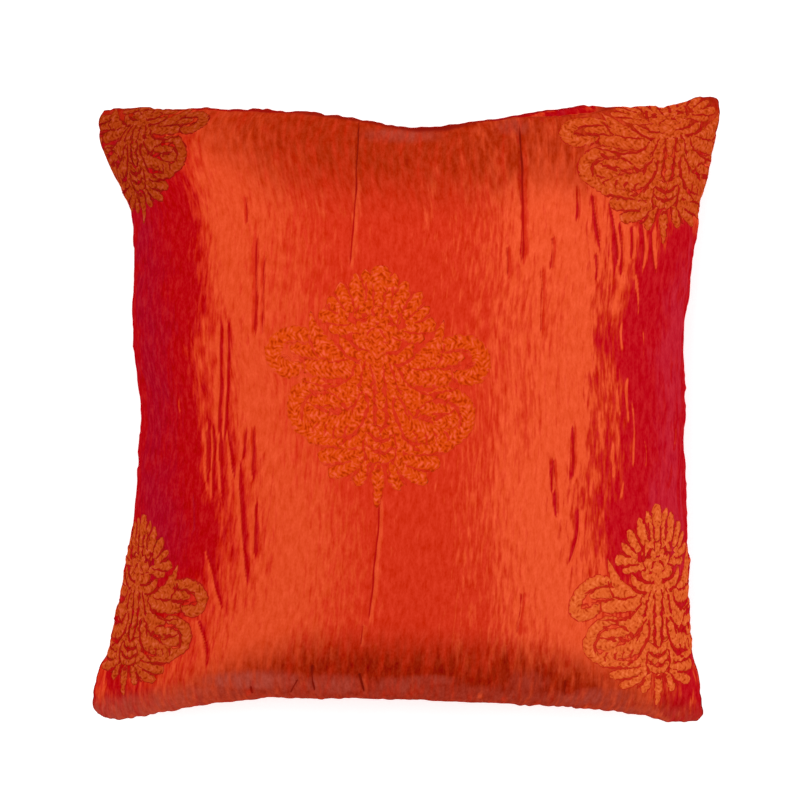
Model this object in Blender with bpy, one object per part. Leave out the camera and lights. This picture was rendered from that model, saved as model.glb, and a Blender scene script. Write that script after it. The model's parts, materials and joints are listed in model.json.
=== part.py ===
"""A square cushion cover, filled, lying on its back with its patterned face up.

Two square panels are sewn together along their four edges and filled. The filled section is wide in the middle
and steep at the seam, so the sides draw in between the corners, and the corners stay flat and stand out as ears.
The front carries the main creases of the crinkled cloth, and a low swell under each woven medallion.

Lengths are in metres. +X runs to the right of the patterned face, +Y to its top edge and +Z out of it. The origin is
in the middle of the box round the cushion, at the level of the surface that it lies on.
"""

import bmesh
import bpy
import numpy as np

# The cover's own sizes
COVER_SIDE = 0.450  # side of the flat cover, seam to seam
HALF = COVER_SIDE / 2
SIDE_DRAW = 0.030  # how far the filling draws the middle of each side in from the flat cover's
FRONT_CROWN = 0.078  # height of the front's middle over the seam
BACK_CROWN = 0.084  # depth of the back's middle under the seam, before the surface flattens it
CROWN_POWER = 2.2  # 2 makes the section an ellipse, and more makes its middle flatter
CROWN_REACH = 0.7  # how far towards the corners the sides stay steep: less is further
EAR_FLATNESS = 0.4  # share by which the two panels close up at the corners
EAR_SHARPNESS = 4  # a higher power keeps the flat ears smaller
SEAM_HEIGHT = 0.070  # height of the seam at the middle of the left and right sides
CORNER_DROOP = 0.012  # how much lower the seam lies at the corners
DROOP_SHARPNESS = 3  # a higher power keeps the droop nearer the corners
SEAM_ROLL = 0.005  # how much higher the seam lies at the top edge, and lower at the bottom one
FLOOR_BLEND = 0.004  # height over which the back curves off the surface

# The cushion's four corner points, before they are rounded
TOP_LEFT = (-0.2175, 0.2115)
TOP_RIGHT = (0.2232, 0.2222)
BOTTOM_LEFT = (-0.2228, -0.2200)
BOTTOM_RIGHT = (0.2095, -0.2250)
CORNER_ROUNDING = 0.018  # share by which a corner point is pulled towards the middle
CORNER_SHARPNESS = 24.0  # a higher power rounds a shorter stretch of each side

# How far each side draws in from the straight line between its corners, in mm.
# Left and right run from the top down, top and bottom from left to right.
SIDE_COLUMNS = ("share", "left", "right", "top", "bottom")
SIDE_ROWS = (
    (0.00, 0.0, 0.0, 0.0, 0.0),
    (0.05, 2.2, 3.6, 1.5, 0.0),
    (0.10, 11.4, 8.8, 4.5, 2.6),
    (0.17, 24.0, 14.7, 4.7, 8.8),
    (0.25, 27.0, 18.0, 6.2, 15.0),
    (0.38, 27.6, 23.2, 11.8, 16.8),
    (0.50, 34.0, 21.9, 21.5, 16.6),
    (0.62, 31.0, 20.1, 18.3, 15.0),
    (0.75, 24.2, 15.6, 10.4, 13.4),
    (0.83, 18.8, 12.4, 10.2, 11.0),
    (0.90, 10.2, 8.3, 10.4, 5.6),
    (0.95, 3.6, 3.5, 4.6, 2.6),
    (1.00, 0.0, 0.0, 0.0, 0.0),
)

# The back panel bulges past the seam along the top edge, where the seam has rolled to the front.
TOP_BULGE = 0.0055
TOP_BULGE_AT = 0.27  # across the face, from -1 at the left corner to 1 at the right one
TOP_BULGE_REACH = 0.38
SIDE_BULGE = 0.0010  # the back's bulge elsewhere
BOTTOM_BULGE = 0.0015  # the front's bulge past the bottom seam, which has rolled to the back
BULGE_INNER = 0.5  # the share of the crown's height at which a bulge ends
BULGE_OUTER = 0.1  # the share of the crown's height up to which a bulge is whole
BULGE_GAIN = 4.0  # brings the bulge's largest value to about 1

RELIEF_FADE = 0.3  # share of the crown over which lumps, creases and swells fade in from the seam

# Broad unevenness of the filling under the front: where it is, its radius and its height, in mm
LUMP_COLUMNS = ("x", "y", "radius", "height")
LUMP_ROWS = (
    (0, 160, 60, -5.0),
    (-95, 120, 70, 2.0),
    (110, 110, 75, 2.5),
    (-120, -60, 70, -1.8),
    (60, -110, 80, 2.0),
    (150, -20, 60, -1.6),
    (-60, -150, 55, 1.2),
)

# Main creases of the front, as soft troughs that run from one end to the other, in mm
CREASE_COLUMNS = ("x_start", "y_start", "x_end", "y_end", "depth")
CREASE_ROWS = (
    (-33, 202, -39, 100, 2.4),
    (77, 202, 80, 98, 2.4),
    (-107, 146, -105, 47, 2.0),
    (-127, 70, -128, -24, 2.2),
    (-105, -8, -105, -86, 1.8),
    (-18, -60, -30, -166, 2.6),
    (-117, -38, -109, -132, 2.0),
    (114, -10, 113, -54, 1.6),
    (101, -32, 104, -78, 1.6),
    (81, -125, 76, -162, 1.6),
    (118, -70, 110, -110, 1.6),
    (141, 144, 146, 94, 1.8),
    (162, 132, 163, 90, 1.8),
    (-139, -96, -129, -142, 1.6),
)
CREASE_WIDTH = 0.0045
CREASE_FADE = 0.2  # share of a crease's length over which each end fades

# Woven medallions: the middle of each, on the flat front panel, in mm
MEDALLION_COLUMNS = ("x", "y")
MEDALLION_ROWS = (
    (-22, 17),
    (-198, 194),
    (178, 186),
    (-195, -146),
    (178, -138),
)
MEDALLION_HALF_WIDTH = 0.080
MEDALLION_HALF_HEIGHT = 0.082
MEDALLION_POWER = 1.5  # 1 makes the medallion's outline a lozenge, and 2 an ellipse
MEDALLION_SWELL = 0.0015
MEDALLION_RIM = 0.25  # share of the medallion over which its swell rises

COLUMNS = 72  # cells of a panel from left to right, more than its rows because the creases run upwards
ROWS = 38  # cells of a panel from bottom to top
WELD = 0.00005

CLOTH_COLOUR = (0.64, 0.055, 0.016, 1.0)
CLOTH_ROUGHNESS = 0.5
MM = 0.001


def clear_scene():
    for thing in list(bpy.data.objects):
        bpy.data.objects.remove(thing, do_unlink=True)


def side_column(name):
    """One column of the sides' table."""
    return np.array([row[SIDE_COLUMNS.index(name)] for row in SIDE_ROWS], float)


def in_metres(columns, rows):
    """Each row of a table in millimetres, by its columns' names and in metres."""
    return [{name: value * MM for name, value in zip(columns, row)} for row in rows]


def smooth_step(value):
    """0 below 0, 1 above 1, and 3v^2 - 2v^3 between."""
    v = np.clip(value, 0.0, 1.0)
    return v * v * (3.0 - 2.0 * v)


def through(stations, values, at):
    """A smooth curve through the values: cubic Hermite pieces with the slope of the neighbours' chord."""
    slopes = np.gradient(values, stations)
    piece = np.clip(np.searchsorted(stations, at) - 1, 0, len(stations) - 2)
    width = stations[piece + 1] - stations[piece]
    v = (at - stations[piece]) / width
    start = (2 * v**3 - 3 * v**2 + 1) * values[piece] + (v**3 - 2 * v**2 + v) * width * slopes[piece]
    end = (3 * v**2 - 2 * v**3) * values[piece + 1] + (v**3 - v**2) * width * slopes[piece + 1]
    return start + end


def section(share, other):
    """Where a share of the cloth from the middle to a seam lies: its place across and its height, both 0 to 1.

    The full section, through the middle of the cushion, is the curve across^n + height^2 = 1, walked by its arc
    length. Towards a side, which the other share gives, the section flattens and the cloth lies evenly along it.
    """
    turn = np.linspace(0.0, np.pi / 2, 721)
    across = np.sin(turn) ** (2.0 / CROWN_POWER)
    height = np.cos(turn)
    steps = np.hypot(np.diff(across) * (HALF - SIDE_DRAW), np.diff(height) * FRONT_CROWN)
    length = np.concatenate(([0.0], np.cumsum(steps)))
    length /= length[-1]
    full = np.interp(np.abs(share), length, across)
    fullness = np.interp(np.abs(other), length, height) ** CROWN_REACH
    place = np.abs(share) + (full - np.abs(share)) * fullness
    return np.sign(share) * place, np.sqrt(1.0 - place**CROWN_POWER)


def outline_point(p, q):
    """The place seen from above of a point at p across and q up the face, each from -1 to 1.

    It is a Coons patch between the four drawn-in sides.
    """
    pull = 1.0 - CORNER_ROUNDING * np.abs(p * q) ** CORNER_SHARPNESS
    p, q = p * pull, q * pull
    share = side_column("share")
    right_share, up_share = (p + 1) / 2, (q + 1) / 2
    corners = [np.array(c) for c in (TOP_LEFT, TOP_RIGHT, BOTTOM_LEFT, BOTTOM_RIGHT)]
    top_left, top_right, bottom_left, bottom_right = corners

    def side(start, end, along, name, inwards):
        drawn = through(share, side_column(name), along) * MM
        return [
            start[axis] + (end[axis] - start[axis]) * along + inwards[axis] * drawn
            for axis in (0, 1)
        ]

    left = side(top_left, bottom_left, 1 - up_share, "left", (1, 0))
    right = side(top_right, bottom_right, 1 - up_share, "right", (-1, 0))
    top = side(top_left, top_right, right_share, "top", (0, -1))
    bottom = side(bottom_left, bottom_right, right_share, "bottom", (0, 1))
    place = []
    for axis in (0, 1):
        flat = (1 - up_share) * ((1 - right_share) * bottom_left[axis] + right_share * bottom_right[axis])
        flat += up_share * ((1 - right_share) * top_left[axis] + right_share * top_right[axis])
        sides = (1 - right_share) * left[axis] + right_share * right[axis]
        ends = (1 - up_share) * bottom[axis] + up_share * top[axis]
        place.append(sides + ends - flat)
    return place


def seam_height(p, q):
    """Level along the left and right sides, higher at the top, lower at the bottom and drooping at the corners."""
    droop = CORNER_DROOP * np.abs(p * q) ** DROOP_SHARPNESS
    return SEAM_HEIGHT - droop + SEAM_ROLL * q * (1 - p * p)


def crown(across_height, up_height, p, q):
    """The share of a panel's crown at a point, less at the corners, where the panels close up into ears."""
    return across_height * up_height * (1 - EAR_FLATNESS * np.abs(p * q) ** EAR_SHARPNESS)


def bulge(height, height_along):
    """How far out the cloth bulges past a seam: 0 at it, about 1 a little way in, and 0 again further in.

    The height is the section's own across the seam, and height_along the one along it.
    """
    inner = smooth_step((BULGE_INNER - height) / (BULGE_INNER - BULGE_OUTER))
    return BULGE_GAIN * height * inner * height_along


def lumps(x, y):
    """Broad bumps and hollows: a Gaussian for each row of the table."""
    total = np.zeros_like(x)
    for lump in in_metres(LUMP_COLUMNS, LUMP_ROWS):
        away = ((x - lump["x"]) ** 2 + (y - lump["y"]) ** 2) / lump["radius"] ** 2
        total += lump["height"] * np.exp(-away)
    return total


def creases(x, y):
    """Soft troughs: a Gaussian across each crease, faded at both ends."""
    total = np.zeros_like(x)
    for crease in in_metres(CREASE_COLUMNS, CREASE_ROWS):
        along = (crease["y_start"] - y) / (crease["y_start"] - crease["y_end"])
        middle = crease["x_start"] + (crease["x_end"] - crease["x_start"]) * np.clip(along, 0, 1)
        ends = smooth_step(along / CREASE_FADE + 0.5) * smooth_step((1 - along) / CREASE_FADE + 0.5)
        total += crease["depth"] * ends * np.exp(-(((x - middle) / CREASE_WIDTH) ** 2))
    return total


def medallion_swell(s, t):
    """The low swell under each medallion, a plateau with a rounded lozenge for its outline."""
    total = np.zeros_like(s)
    for middle in in_metres(MEDALLION_COLUMNS, MEDALLION_ROWS):
        right = np.abs(s * HALF - middle["x"]) / MEDALLION_HALF_WIDTH
        up = np.abs(t * HALF - middle["y"]) / MEDALLION_HALF_HEIGHT
        inside = 1.0 - (right**MEDALLION_POWER + up**MEDALLION_POWER)
        total = np.maximum(total, MEDALLION_SWELL * smooth_step(inside / MEDALLION_RIM))
    return total


def front_points(s, t):
    """The front panel: the crown over the seam, with the filling's lumps, the creases and the swells."""
    (p, across_height), (q, up_height) = section(s, t), section(t, s)
    x, y = outline_point(p, q)
    lift = crown(across_height, up_height, p, q)
    relief = (lumps(x, y) - creases(x, y) + medallion_swell(s, t)) * smooth_step(lift / RELIEF_FADE)
    y = y - np.where(q < 0, BOTTOM_BULGE, 0.0) * bulge(up_height, across_height)
    return x, y, seam_height(p, q) + FRONT_CROWN * lift + relief


def back_points(s, t):
    """The back panel: the crown under the seam, bulging past it a little, and flat where it lies."""
    (p, across_height), (q, up_height) = section(s, t), section(t, s)
    x, y = outline_point(p, q)
    top = SIDE_BULGE + TOP_BULGE * np.exp(-(((p - TOP_BULGE_AT) / TOP_BULGE_REACH) ** 2))
    x = x + np.sign(p) * SIDE_BULGE * bulge(across_height, up_height)
    y = y + np.where(q > 0, top, -SIDE_BULGE) * bulge(up_height, across_height)
    z = seam_height(p, q) - BACK_CROWN * crown(across_height, up_height, p, q)
    blended = (z + FLOOR_BLEND) ** 2 / (4 * FLOOR_BLEND)
    z = np.where(z > FLOOR_BLEND, z, np.where(z > -FLOOR_BLEND, blended, 0.0))
    return x, y, z


def panel(name, points):
    """A square grid, one cell for each small patch of the cloth, moved to the shape that the filling gives it."""
    bpy.ops.mesh.primitive_grid_add(x_subdivisions=COLUMNS, y_subdivisions=ROWS, size=2)
    made = bpy.context.object
    made.name = name
    flat = np.empty(len(made.data.vertices) * 3)
    made.data.vertices.foreach_get("co", flat)
    s, t = flat.reshape(-1, 3)[:, 0], flat.reshape(-1, 3)[:, 1]
    made.data.vertices.foreach_set("co", np.stack(points(s, t), axis=1).ravel())
    return made


def sew(front, back):
    """Turns the back panel to face down, and joins the two panels along their rims."""
    back.data.flip_normals()
    bpy.ops.object.select_all(action="DESELECT")
    back.select_set(True)
    front.select_set(True)
    bpy.context.view_layer.objects.active = front
    bpy.ops.object.join()
    mesh = bmesh.new()
    mesh.from_mesh(front.data)
    bmesh.ops.remove_doubles(mesh, verts=mesh.verts, dist=WELD)
    mesh.to_mesh(front.data)
    mesh.free()
    return front


def centre(cushion):
    """Puts the middle of the box round the cushion over the origin."""
    corners = np.array(cushion.bound_box)
    middle = (corners.min(axis=0) + corners.max(axis=0)) / 2
    flat = np.empty(len(cushion.data.vertices) * 3)
    cushion.data.vertices.foreach_get("co", flat)
    moved = flat.reshape(-1, 3) - (middle[0], middle[1], 0.0)
    cushion.data.vertices.foreach_set("co", moved.ravel())
    cushion.data.update()


def shot_taffeta():
    """Crinkled taffeta, woven from crimson and orange threads."""
    cloth = bpy.data.materials.new("shot_taffeta")
    cloth.use_nodes = True
    shader = cloth.node_tree.nodes["Principled BSDF"]
    shader.inputs["Base Color"].default_value = CLOTH_COLOUR
    shader.inputs["Roughness"].default_value = CLOTH_ROUGHNESS
    shader.inputs["Metallic"].default_value = 0.0
    return cloth


def main():
    clear_scene()
    front = panel("front_panel", front_points)
    back = panel("back_panel", back_points)
    cushion = sew(front, back)
    centre(cushion)
    cushion.name = "cushion_cover"
    cushion.data.name = "cushion_cover"
    cushion.data.shade_smooth()
    cushion.data.materials.clear()
    cushion.data.materials.append(shot_taffeta())
    parts = bpy.data.collections.new("filled_cushion_cover")
    bpy.context.scene.collection.children.link(parts)
    for used in list(cushion.users_collection):
        used.objects.unlink(cushion)
    parts.objects.link(cushion)


main()
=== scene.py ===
"""The looks of a filled square cushion cover in crinkled shot taffeta with woven damask medallions.

The cover lies on its back with its patterned face up, on the solid of the part's source, whose sizes it
repeats. +X runs to the right of the face, +Y to its top edge and +Z out of it, in metres.
Flat places on the cloth are s and t, from -1 to 1 across and up the face, seam to seam.
"""

import functools
import json

import bmesh
import bpy
import numpy as np
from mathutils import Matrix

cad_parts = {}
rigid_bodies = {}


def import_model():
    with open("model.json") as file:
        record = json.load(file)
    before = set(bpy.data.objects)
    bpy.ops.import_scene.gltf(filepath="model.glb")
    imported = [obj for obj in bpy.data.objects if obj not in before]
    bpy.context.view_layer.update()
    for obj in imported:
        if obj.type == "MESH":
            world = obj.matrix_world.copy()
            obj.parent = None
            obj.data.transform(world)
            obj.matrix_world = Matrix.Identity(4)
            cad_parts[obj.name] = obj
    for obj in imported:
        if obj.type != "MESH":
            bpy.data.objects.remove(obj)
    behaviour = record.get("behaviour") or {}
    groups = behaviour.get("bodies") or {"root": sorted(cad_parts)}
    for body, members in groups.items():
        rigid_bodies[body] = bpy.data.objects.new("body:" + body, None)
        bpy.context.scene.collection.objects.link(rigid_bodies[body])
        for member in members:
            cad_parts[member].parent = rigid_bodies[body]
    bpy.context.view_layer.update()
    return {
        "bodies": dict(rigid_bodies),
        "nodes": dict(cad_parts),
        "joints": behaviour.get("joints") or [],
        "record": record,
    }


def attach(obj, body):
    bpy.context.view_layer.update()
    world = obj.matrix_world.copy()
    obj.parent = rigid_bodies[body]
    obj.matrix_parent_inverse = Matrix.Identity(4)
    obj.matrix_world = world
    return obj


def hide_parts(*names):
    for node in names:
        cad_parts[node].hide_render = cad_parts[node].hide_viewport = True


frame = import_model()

bl_info = {
    "name": "Cushion cover in shot taffeta",
    "version": (1, 0, 0),
    "blender": (4, 5, 0),
    "location": "3D View > Sidebar > Cushion",
    "description": "Builds a filled cushion cover with crinkled cloth and woven medallions",
    "category": "Add Mesh",
}

MM = 0.001

# The filled cover, as in the part's source
COVER_SIDE = 0.450
HALF = COVER_SIDE / 2
SIDE_DRAW = 0.030
FRONT_CROWN = 0.078
BACK_CROWN = 0.084
CROWN_POWER = 2.2
CROWN_REACH = 0.7
EAR_FLATNESS = 0.4
EAR_SHARPNESS = 4
SEAM_HEIGHT = 0.070
CORNER_DROOP = 0.012
DROOP_SHARPNESS = 3
SEAM_ROLL = 0.005
FLOOR_BLEND = 0.004
TOP_LEFT = (-0.2175, 0.2115)
TOP_RIGHT = (0.2232, 0.2222)
BOTTOM_LEFT = (-0.2228, -0.2200)
BOTTOM_RIGHT = (0.2095, -0.2250)
CORNER_ROUNDING = 0.018
CORNER_SHARPNESS = 24.0

# How far each side draws in from the straight line between its corners, in mm.
# Left and right run from the top down, top and bottom from left to right.
SIDE_COLUMNS = ("share", "left", "right", "top", "bottom")
SIDE_ROWS = (
    (0.00, 0.0, 0.0, 0.0, 0.0),
    (0.05, 2.2, 3.6, 1.5, 0.0),
    (0.10, 11.4, 8.8, 4.5, 2.6),
    (0.17, 24.0, 14.7, 4.7, 8.8),
    (0.25, 27.0, 18.0, 6.2, 15.0),
    (0.38, 27.6, 23.2, 11.8, 16.8),
    (0.50, 34.0, 21.9, 21.5, 16.6),
    (0.62, 31.0, 20.1, 18.3, 15.0),
    (0.75, 24.2, 15.6, 10.4, 13.4),
    (0.83, 18.8, 12.4, 10.2, 11.0),
    (0.90, 10.2, 8.3, 10.4, 5.6),
    (0.95, 3.6, 3.5, 4.6, 2.6),
    (1.00, 0.0, 0.0, 0.0, 0.0),
)
TOP_BULGE = 0.0055
TOP_BULGE_AT = 0.27
TOP_BULGE_REACH = 0.38
SIDE_BULGE = 0.0010
BOTTOM_BULGE = 0.0015
BULGE_INNER = 0.5
BULGE_OUTER = 0.1
BULGE_GAIN = 4.0
RELIEF_FADE = 0.3
CURVE_POINTS = 721  # along the curve of a section
BOX_POINTS = 241  # across and up a panel, for its box

# Broad unevenness of the filling under the front: where it is, its radius and its height, in mm
LUMP_COLUMNS = ("x", "y", "radius", "height")
LUMP_ROWS = (
    (0, 160, 60, -5.0),
    (-95, 120, 70, 2.0),
    (110, 110, 75, 2.5),
    (-120, -60, 70, -1.8),
    (60, -110, 80, 2.0),
    (150, -20, 60, -1.6),
    (-60, -150, 55, 1.2),
)

# Main creases: soft troughs, each with a narrow tuck in it, as seen from straight above, in mm.
# A crease runs from its top through its middle to its bottom end.
CREASE_COLUMNS = ("x_top", "y_top", "x_mid", "y_mid", "x_low", "y_low", "trough", "tuck")
CREASE_ROWS = (
    (-33, 208, -36, 150, -40, 93, 1, 0.9),
    (78, 206, 81, 150, 81, 97, 0.9, 1),
    (-105, 125, -106, 88, -107, 48, 0.8, 0.8),
    (-113, 150, -112, 140, -112, 128, 0, 0.6),
    (-99, 110, -101, 80, -101, 47, 0.4, 0.7),
    (-126, 64, -126, 28, -129, -26, 0.5, 0.7),
    (-131, 64, -131, 20, -133, -22, 0.6, 0.7),
    (-107, -10, -108, -32, -108, -52, 0.5, 0.8),
    (-113, -12, -114, -24, -116, -36, 0.3, 0.7),
    (-118, -35, -116, -75, -112, -128, 0.7, 0.8),
    (-105, -64, -107, -90, -107, -106, 0.5, 0.8),
    (-19, -60, -22, -104, -28, -154, 1.1, 0.9),
    (-31, -151, -32, -160, -33, -168, 0.4, 0.6),
    (116, -9, 117, -27, 116, -52, 0.5, 0.7),
    (102, -32, 104, -57, 106, -79, 0.6, 0.6),
    (120, -70, 119, -90, 112, -112, 0.6, 0.5),
    (82, -127, 79, -146, 77, -161, 0.5, 0.5),
    (-141, -96, -136, -118, -130, -142, 0.6, 0.7),
    (-147, -147, -142, -164, -141, -182, 0.5, 0.7),
    (130, 152, 132, 133, 136, 112, 0.5, 0.8),
    (142, 146, 146, 126, 148, 100, 0.5, 0.8),
    (150, 132, 151, 112, 151, 92, 0.4, 0.75),
    (164, 134, 166, 116, 164, 96, 0.4, 0.75),
    (171, 126, 172, 112, 175, 92, 0.4, 0.7),
    (157, 128, 158, 116, 157, 104, 0.2, 0.7),
    (102, 122, 102, 110, 102, 95, 0.2, 0.6),
    (94, 102, 95, 76, 94, 50, 0.3, 0.55),
    (71, 114, 71, 103, 71, 91, 0.3, 0.7),
    (133, 110, 133, 98, 133, 88, 0.1, 0.6),
    (120, 158, 120, 145, 119, 130, 0.2, 0.6),
    (101, -40, 102, -50, 102, -60, 0.2, 0.6),
    (-141, -12, -141, -32, -140, -54, 0.2, 0.65),
    (-136, -10, -136, -35, -136, -64, 0.3, 0.7),
    (-131, -14, -131, -38, -129, -66, 0.2, 0.65),
    (-126, -16, -124, -32, -121, -50, 0.2, 0.7),
    (-151, -60, -150, -74, -150, -88, 0.1, 0.55),
    (-139, -8, -139, -28, -138, -47, 0.4, 0.5),
    (-132, -22, -132, -30, -132, -38, 0, 0.5),
    (-54, -166, -54, -171, -54, -176, 0.6, 0.6),
    (-66, -178, -66, -182, -66, -187, 0.5, 0.5),
    (-66, -180, -66.5, -189, -64.5, -200, 0.9, 1),
    (-34, -185, -32, -192, -29.5, -201, 0.9, 1),
    (-76, -190, -79, -195, -82, -201, 0.7, 0.9),
    (-109, -196, -109, -199, -108, -202, 0.5, 0.8),
    (70, -165, 70, -172, 70, -181, 0.6, 0.5),
    (-110, -190, -110, -197, -109, -203, 0.8, 0.4),
    (2, -186, 3, -193, 3, -200, 0.7, 0.3),
    (40, -184, 41, -192, 42, -200, 0.7, 0.3),
    (94, -178, 95, -190, 96, -202, 0.8, 0.4),
    (111, -190, 111, -197, 111, -204, 1.2, 0.7),
)

# Painted highlights beside the tucks and along the bottom seam: thin lines painted as if ridges caught the
# light there, with no ridge in the shape: the top, middle and low point of each, in mm, and how strongly it
# shows
PAINTED_HIGHLIGHT_COLUMNS = ("x_top", "y_top", "x_mid", "y_mid", "x_low", "y_low", "strength")
PAINTED_HIGHLIGHT_ROWS = (
    (159.5, 95, 161.5, 80, 161.5, 62, 0.8),
    (165, 57, 166, 42, 164.5, 26, 0.7),
    (155, 23, 154, 5, 156, -12, 0.9),
    (157, 6, 159, -16, 158, -44, 0.9),
    (148, 20, 147, 8, 149.5, -7, 0.6),
    (165.5, -20, 167.5, -31, 167, -44, 0.7),
    (173.5, -28, 174.5, -33, 174, -39, 0.5),
    (186.5, 32, 185, 25, 185.5, 16, 0.7),
    (186.5, -8, 188, -19, 186.5, -30, 0.8),
    (185, -40, 184.5, -49, 183, -58, 0.8),
    (152.5, -50, 151, -58, 149, -66, 0.7),
    (145, -24, 144, -36, 145.5, -50, 0.6),
    (151, 60, 150, 50, 151, 40, 0.5),
    (-141.5, -31, -141, -46, -139.5, -60, 0.7),
    (-136, -20, -135.5, -32, -136, -44, 0.6),
    (-143, 66, -142, 54, -142.5, 42, 0.5),
    (-159, 9, -160, 2, -158.5, -4, 0.8),
    (-110.5, -196.5, -110, -199, -110.5, -201.5, 0.9),
    (-111.8, -197.5, -111.5, -199.5, -112, -202, 0.8),
    (-91, -197, -91.5, -198.5, -91, -200.5, 0.6),
    (9.5, -196, 10, -198, 9.5, -200.5, 0.7),
    (50.5, -199, 50, -201, 50.5, -203.5, 1),
    (51.8, -200, 51.5, -201.5, 51.8, -203.5, 0.9),
    (66.5, -202, 66.5, -203.5, 66, -205.5, 0.8),
    (74, -199, 74.5, -201.5, 74, -204, 0.9),
    (67.8, -202, 67.8, -203.5, 67.6, -205.5, 0.8),
)
PAINTED_HIGHLIGHT_WIDTH = 0.0008
TROUGH_WIDTH = 0.0024
TUCK_WIDTH = 0.00075
CREASE_FADE = 0.12  # share of a crease's length over which each end fades
CREASE_OVERRUN = 0.2  # share of its length by which its line goes on past each end
CREASE_WAVER = 0.0005  # how far the line wavers to and fro
CREASE_PITCH = 0.014  # and over what length
CREASE_UNEVEN = 0.2  # share of its depth that comes and goes
CREASE_TAPER = 0.4  # share of its width that is lost at its ends

# Lines up the filled face along which the shot cloth is painted as if it turned by the same slope, as seen
# from straight above: their height and their places across, in mm. The crinkles and the filling move them to
# and fro. This slope picks a painted sheen, orange where the weft catches the light and crimson where the
# cloth turns from it; the broad slope of the front's shape is not used for it.
TURN_COLUMNS = ("y", "crimson_left", "orange_left", "level", "orange_right", "crimson_right")
TURN_ROWS = (
    (-197, -206, -117, -5, 142, 191),
    (-169, -190, -102, -1, 128, 183),
    (-148, -173, -89, 4, 107, 174),
    (-127, -152, -80, 8, 97, 163),
    (-106, -134, -75, 4, 97, 149),
    (-85, -127, -75, 4, 92, 137),
    (-64, -134, -82, 4, 85, 141),
    (-43, -136, -92, -1, 93, 148),
    (-22, -138, -99, -5, 104, 150),
    (-1, -136, -110, -8, 115, 150),
    (20, -136, -106, -10, 115, 146),
    (41, -139, -106, -12, 122, 141),
    (62, -141, -106, -12, 122, 148),
    (83, -145, -120, -12, 119, 155),
    (104, -146, -122, -12, 112, 170),
    (125, -148, -124, -10, 111, 186),
    (146, -152, -125, -12, 107, 202),
    (181, -164, -127, -43, 97, 216),
    (212, -180, -134, -54, 93, 219),
)
TURN_SLOPES = (-0.38, -0.20, 0.0, 0.20, 0.33)
SHOULDER = 0.042  # how far past the crimson line the cloth turns on, to its steepest
STEEPEST = 0.70
PAINTED_HIGHLIGHT_TURN = 0.75  # share of the cloth's turn, and of its painted shade bands, that a painted highlight takes away
TURN_GAIN = 0.45  # share of a crinkle's own slope that shows in the cloth's colour
CRINKLE_CAP = 0.35  # the most that a crinkle's slope counts for
LEAST_HEIGHT = 0.2  # of a normal, when its slopes are worked out

# Patches on the left side painted as if the cloth turned less there, a painted sheen in the colour only, with
# no hollow in the shape: the middle of each and its reach, in mm, and the slope that it takes away
TURN_PATCH_COLUMNS = ("x", "y", "across", "up", "slope")
TURN_PATCH_ROWS = (
    (-149, 32, 13, 26, 0.12),
    (-147, -2, 11, 16, 0.08),
    (-146, -44, 8, 14, 0.06),
)

# Woven medallions: the middle of each on the flat panel, its half width and half height, how far its outer
# leaves hang down on the left and right, and how far its axis leans over, all in mm
MEDALLION_COLUMNS = ("x", "y", "half_width", "half_height", "droop_left", "droop_right", "lean")
MEDALLION_ROWS = {
    "middle": (-22.7, 18, 81, 74, 0, 0, 0),
    "lower_right": (181, -130.5, 71, 66, 16, 0, 1),
    "upper_right": (178, 176, 83, 60, 0, 0, 0),
    "lower_left": (-197.8, -132, 63.7, 59.5, 0, 7.4, 2.4),
    "upper_left": (-189.5, 193, 51, 57, 0, 3, -12),
}

# How each medallion looks: how far it faces up, which moves its leaves towards the colours of the painted
# sheen, its painted light level, lower where it faces away from the light, how far its ground has the cloth's
# own colour, and its shares of the height of the leaves, of their width and of the width of the gaps
LOOK_COLUMNS = ("facing_up", "painted_light_level", "cloth_share", "rise", "fullness", "gap")
MEDALLION_LOOKS = {
    "middle": (1.0, 1.0, 0.85, 0.35, 1.12, 0.75),
    "lower_right": (0.1, 1.02, 0.2, 0.5, 0.93, 1.0),
    "upper_right": (0.6, 0.86, 0.1, 0.5, 0.98, 0.9),
    "lower_left": (0.6, 0.73, 0.1, 0.5, 0.96, 0.9),
    "upper_left": (0.8, 0.58, 0.0, 0.5, 1.0, 0.9),
}

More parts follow.
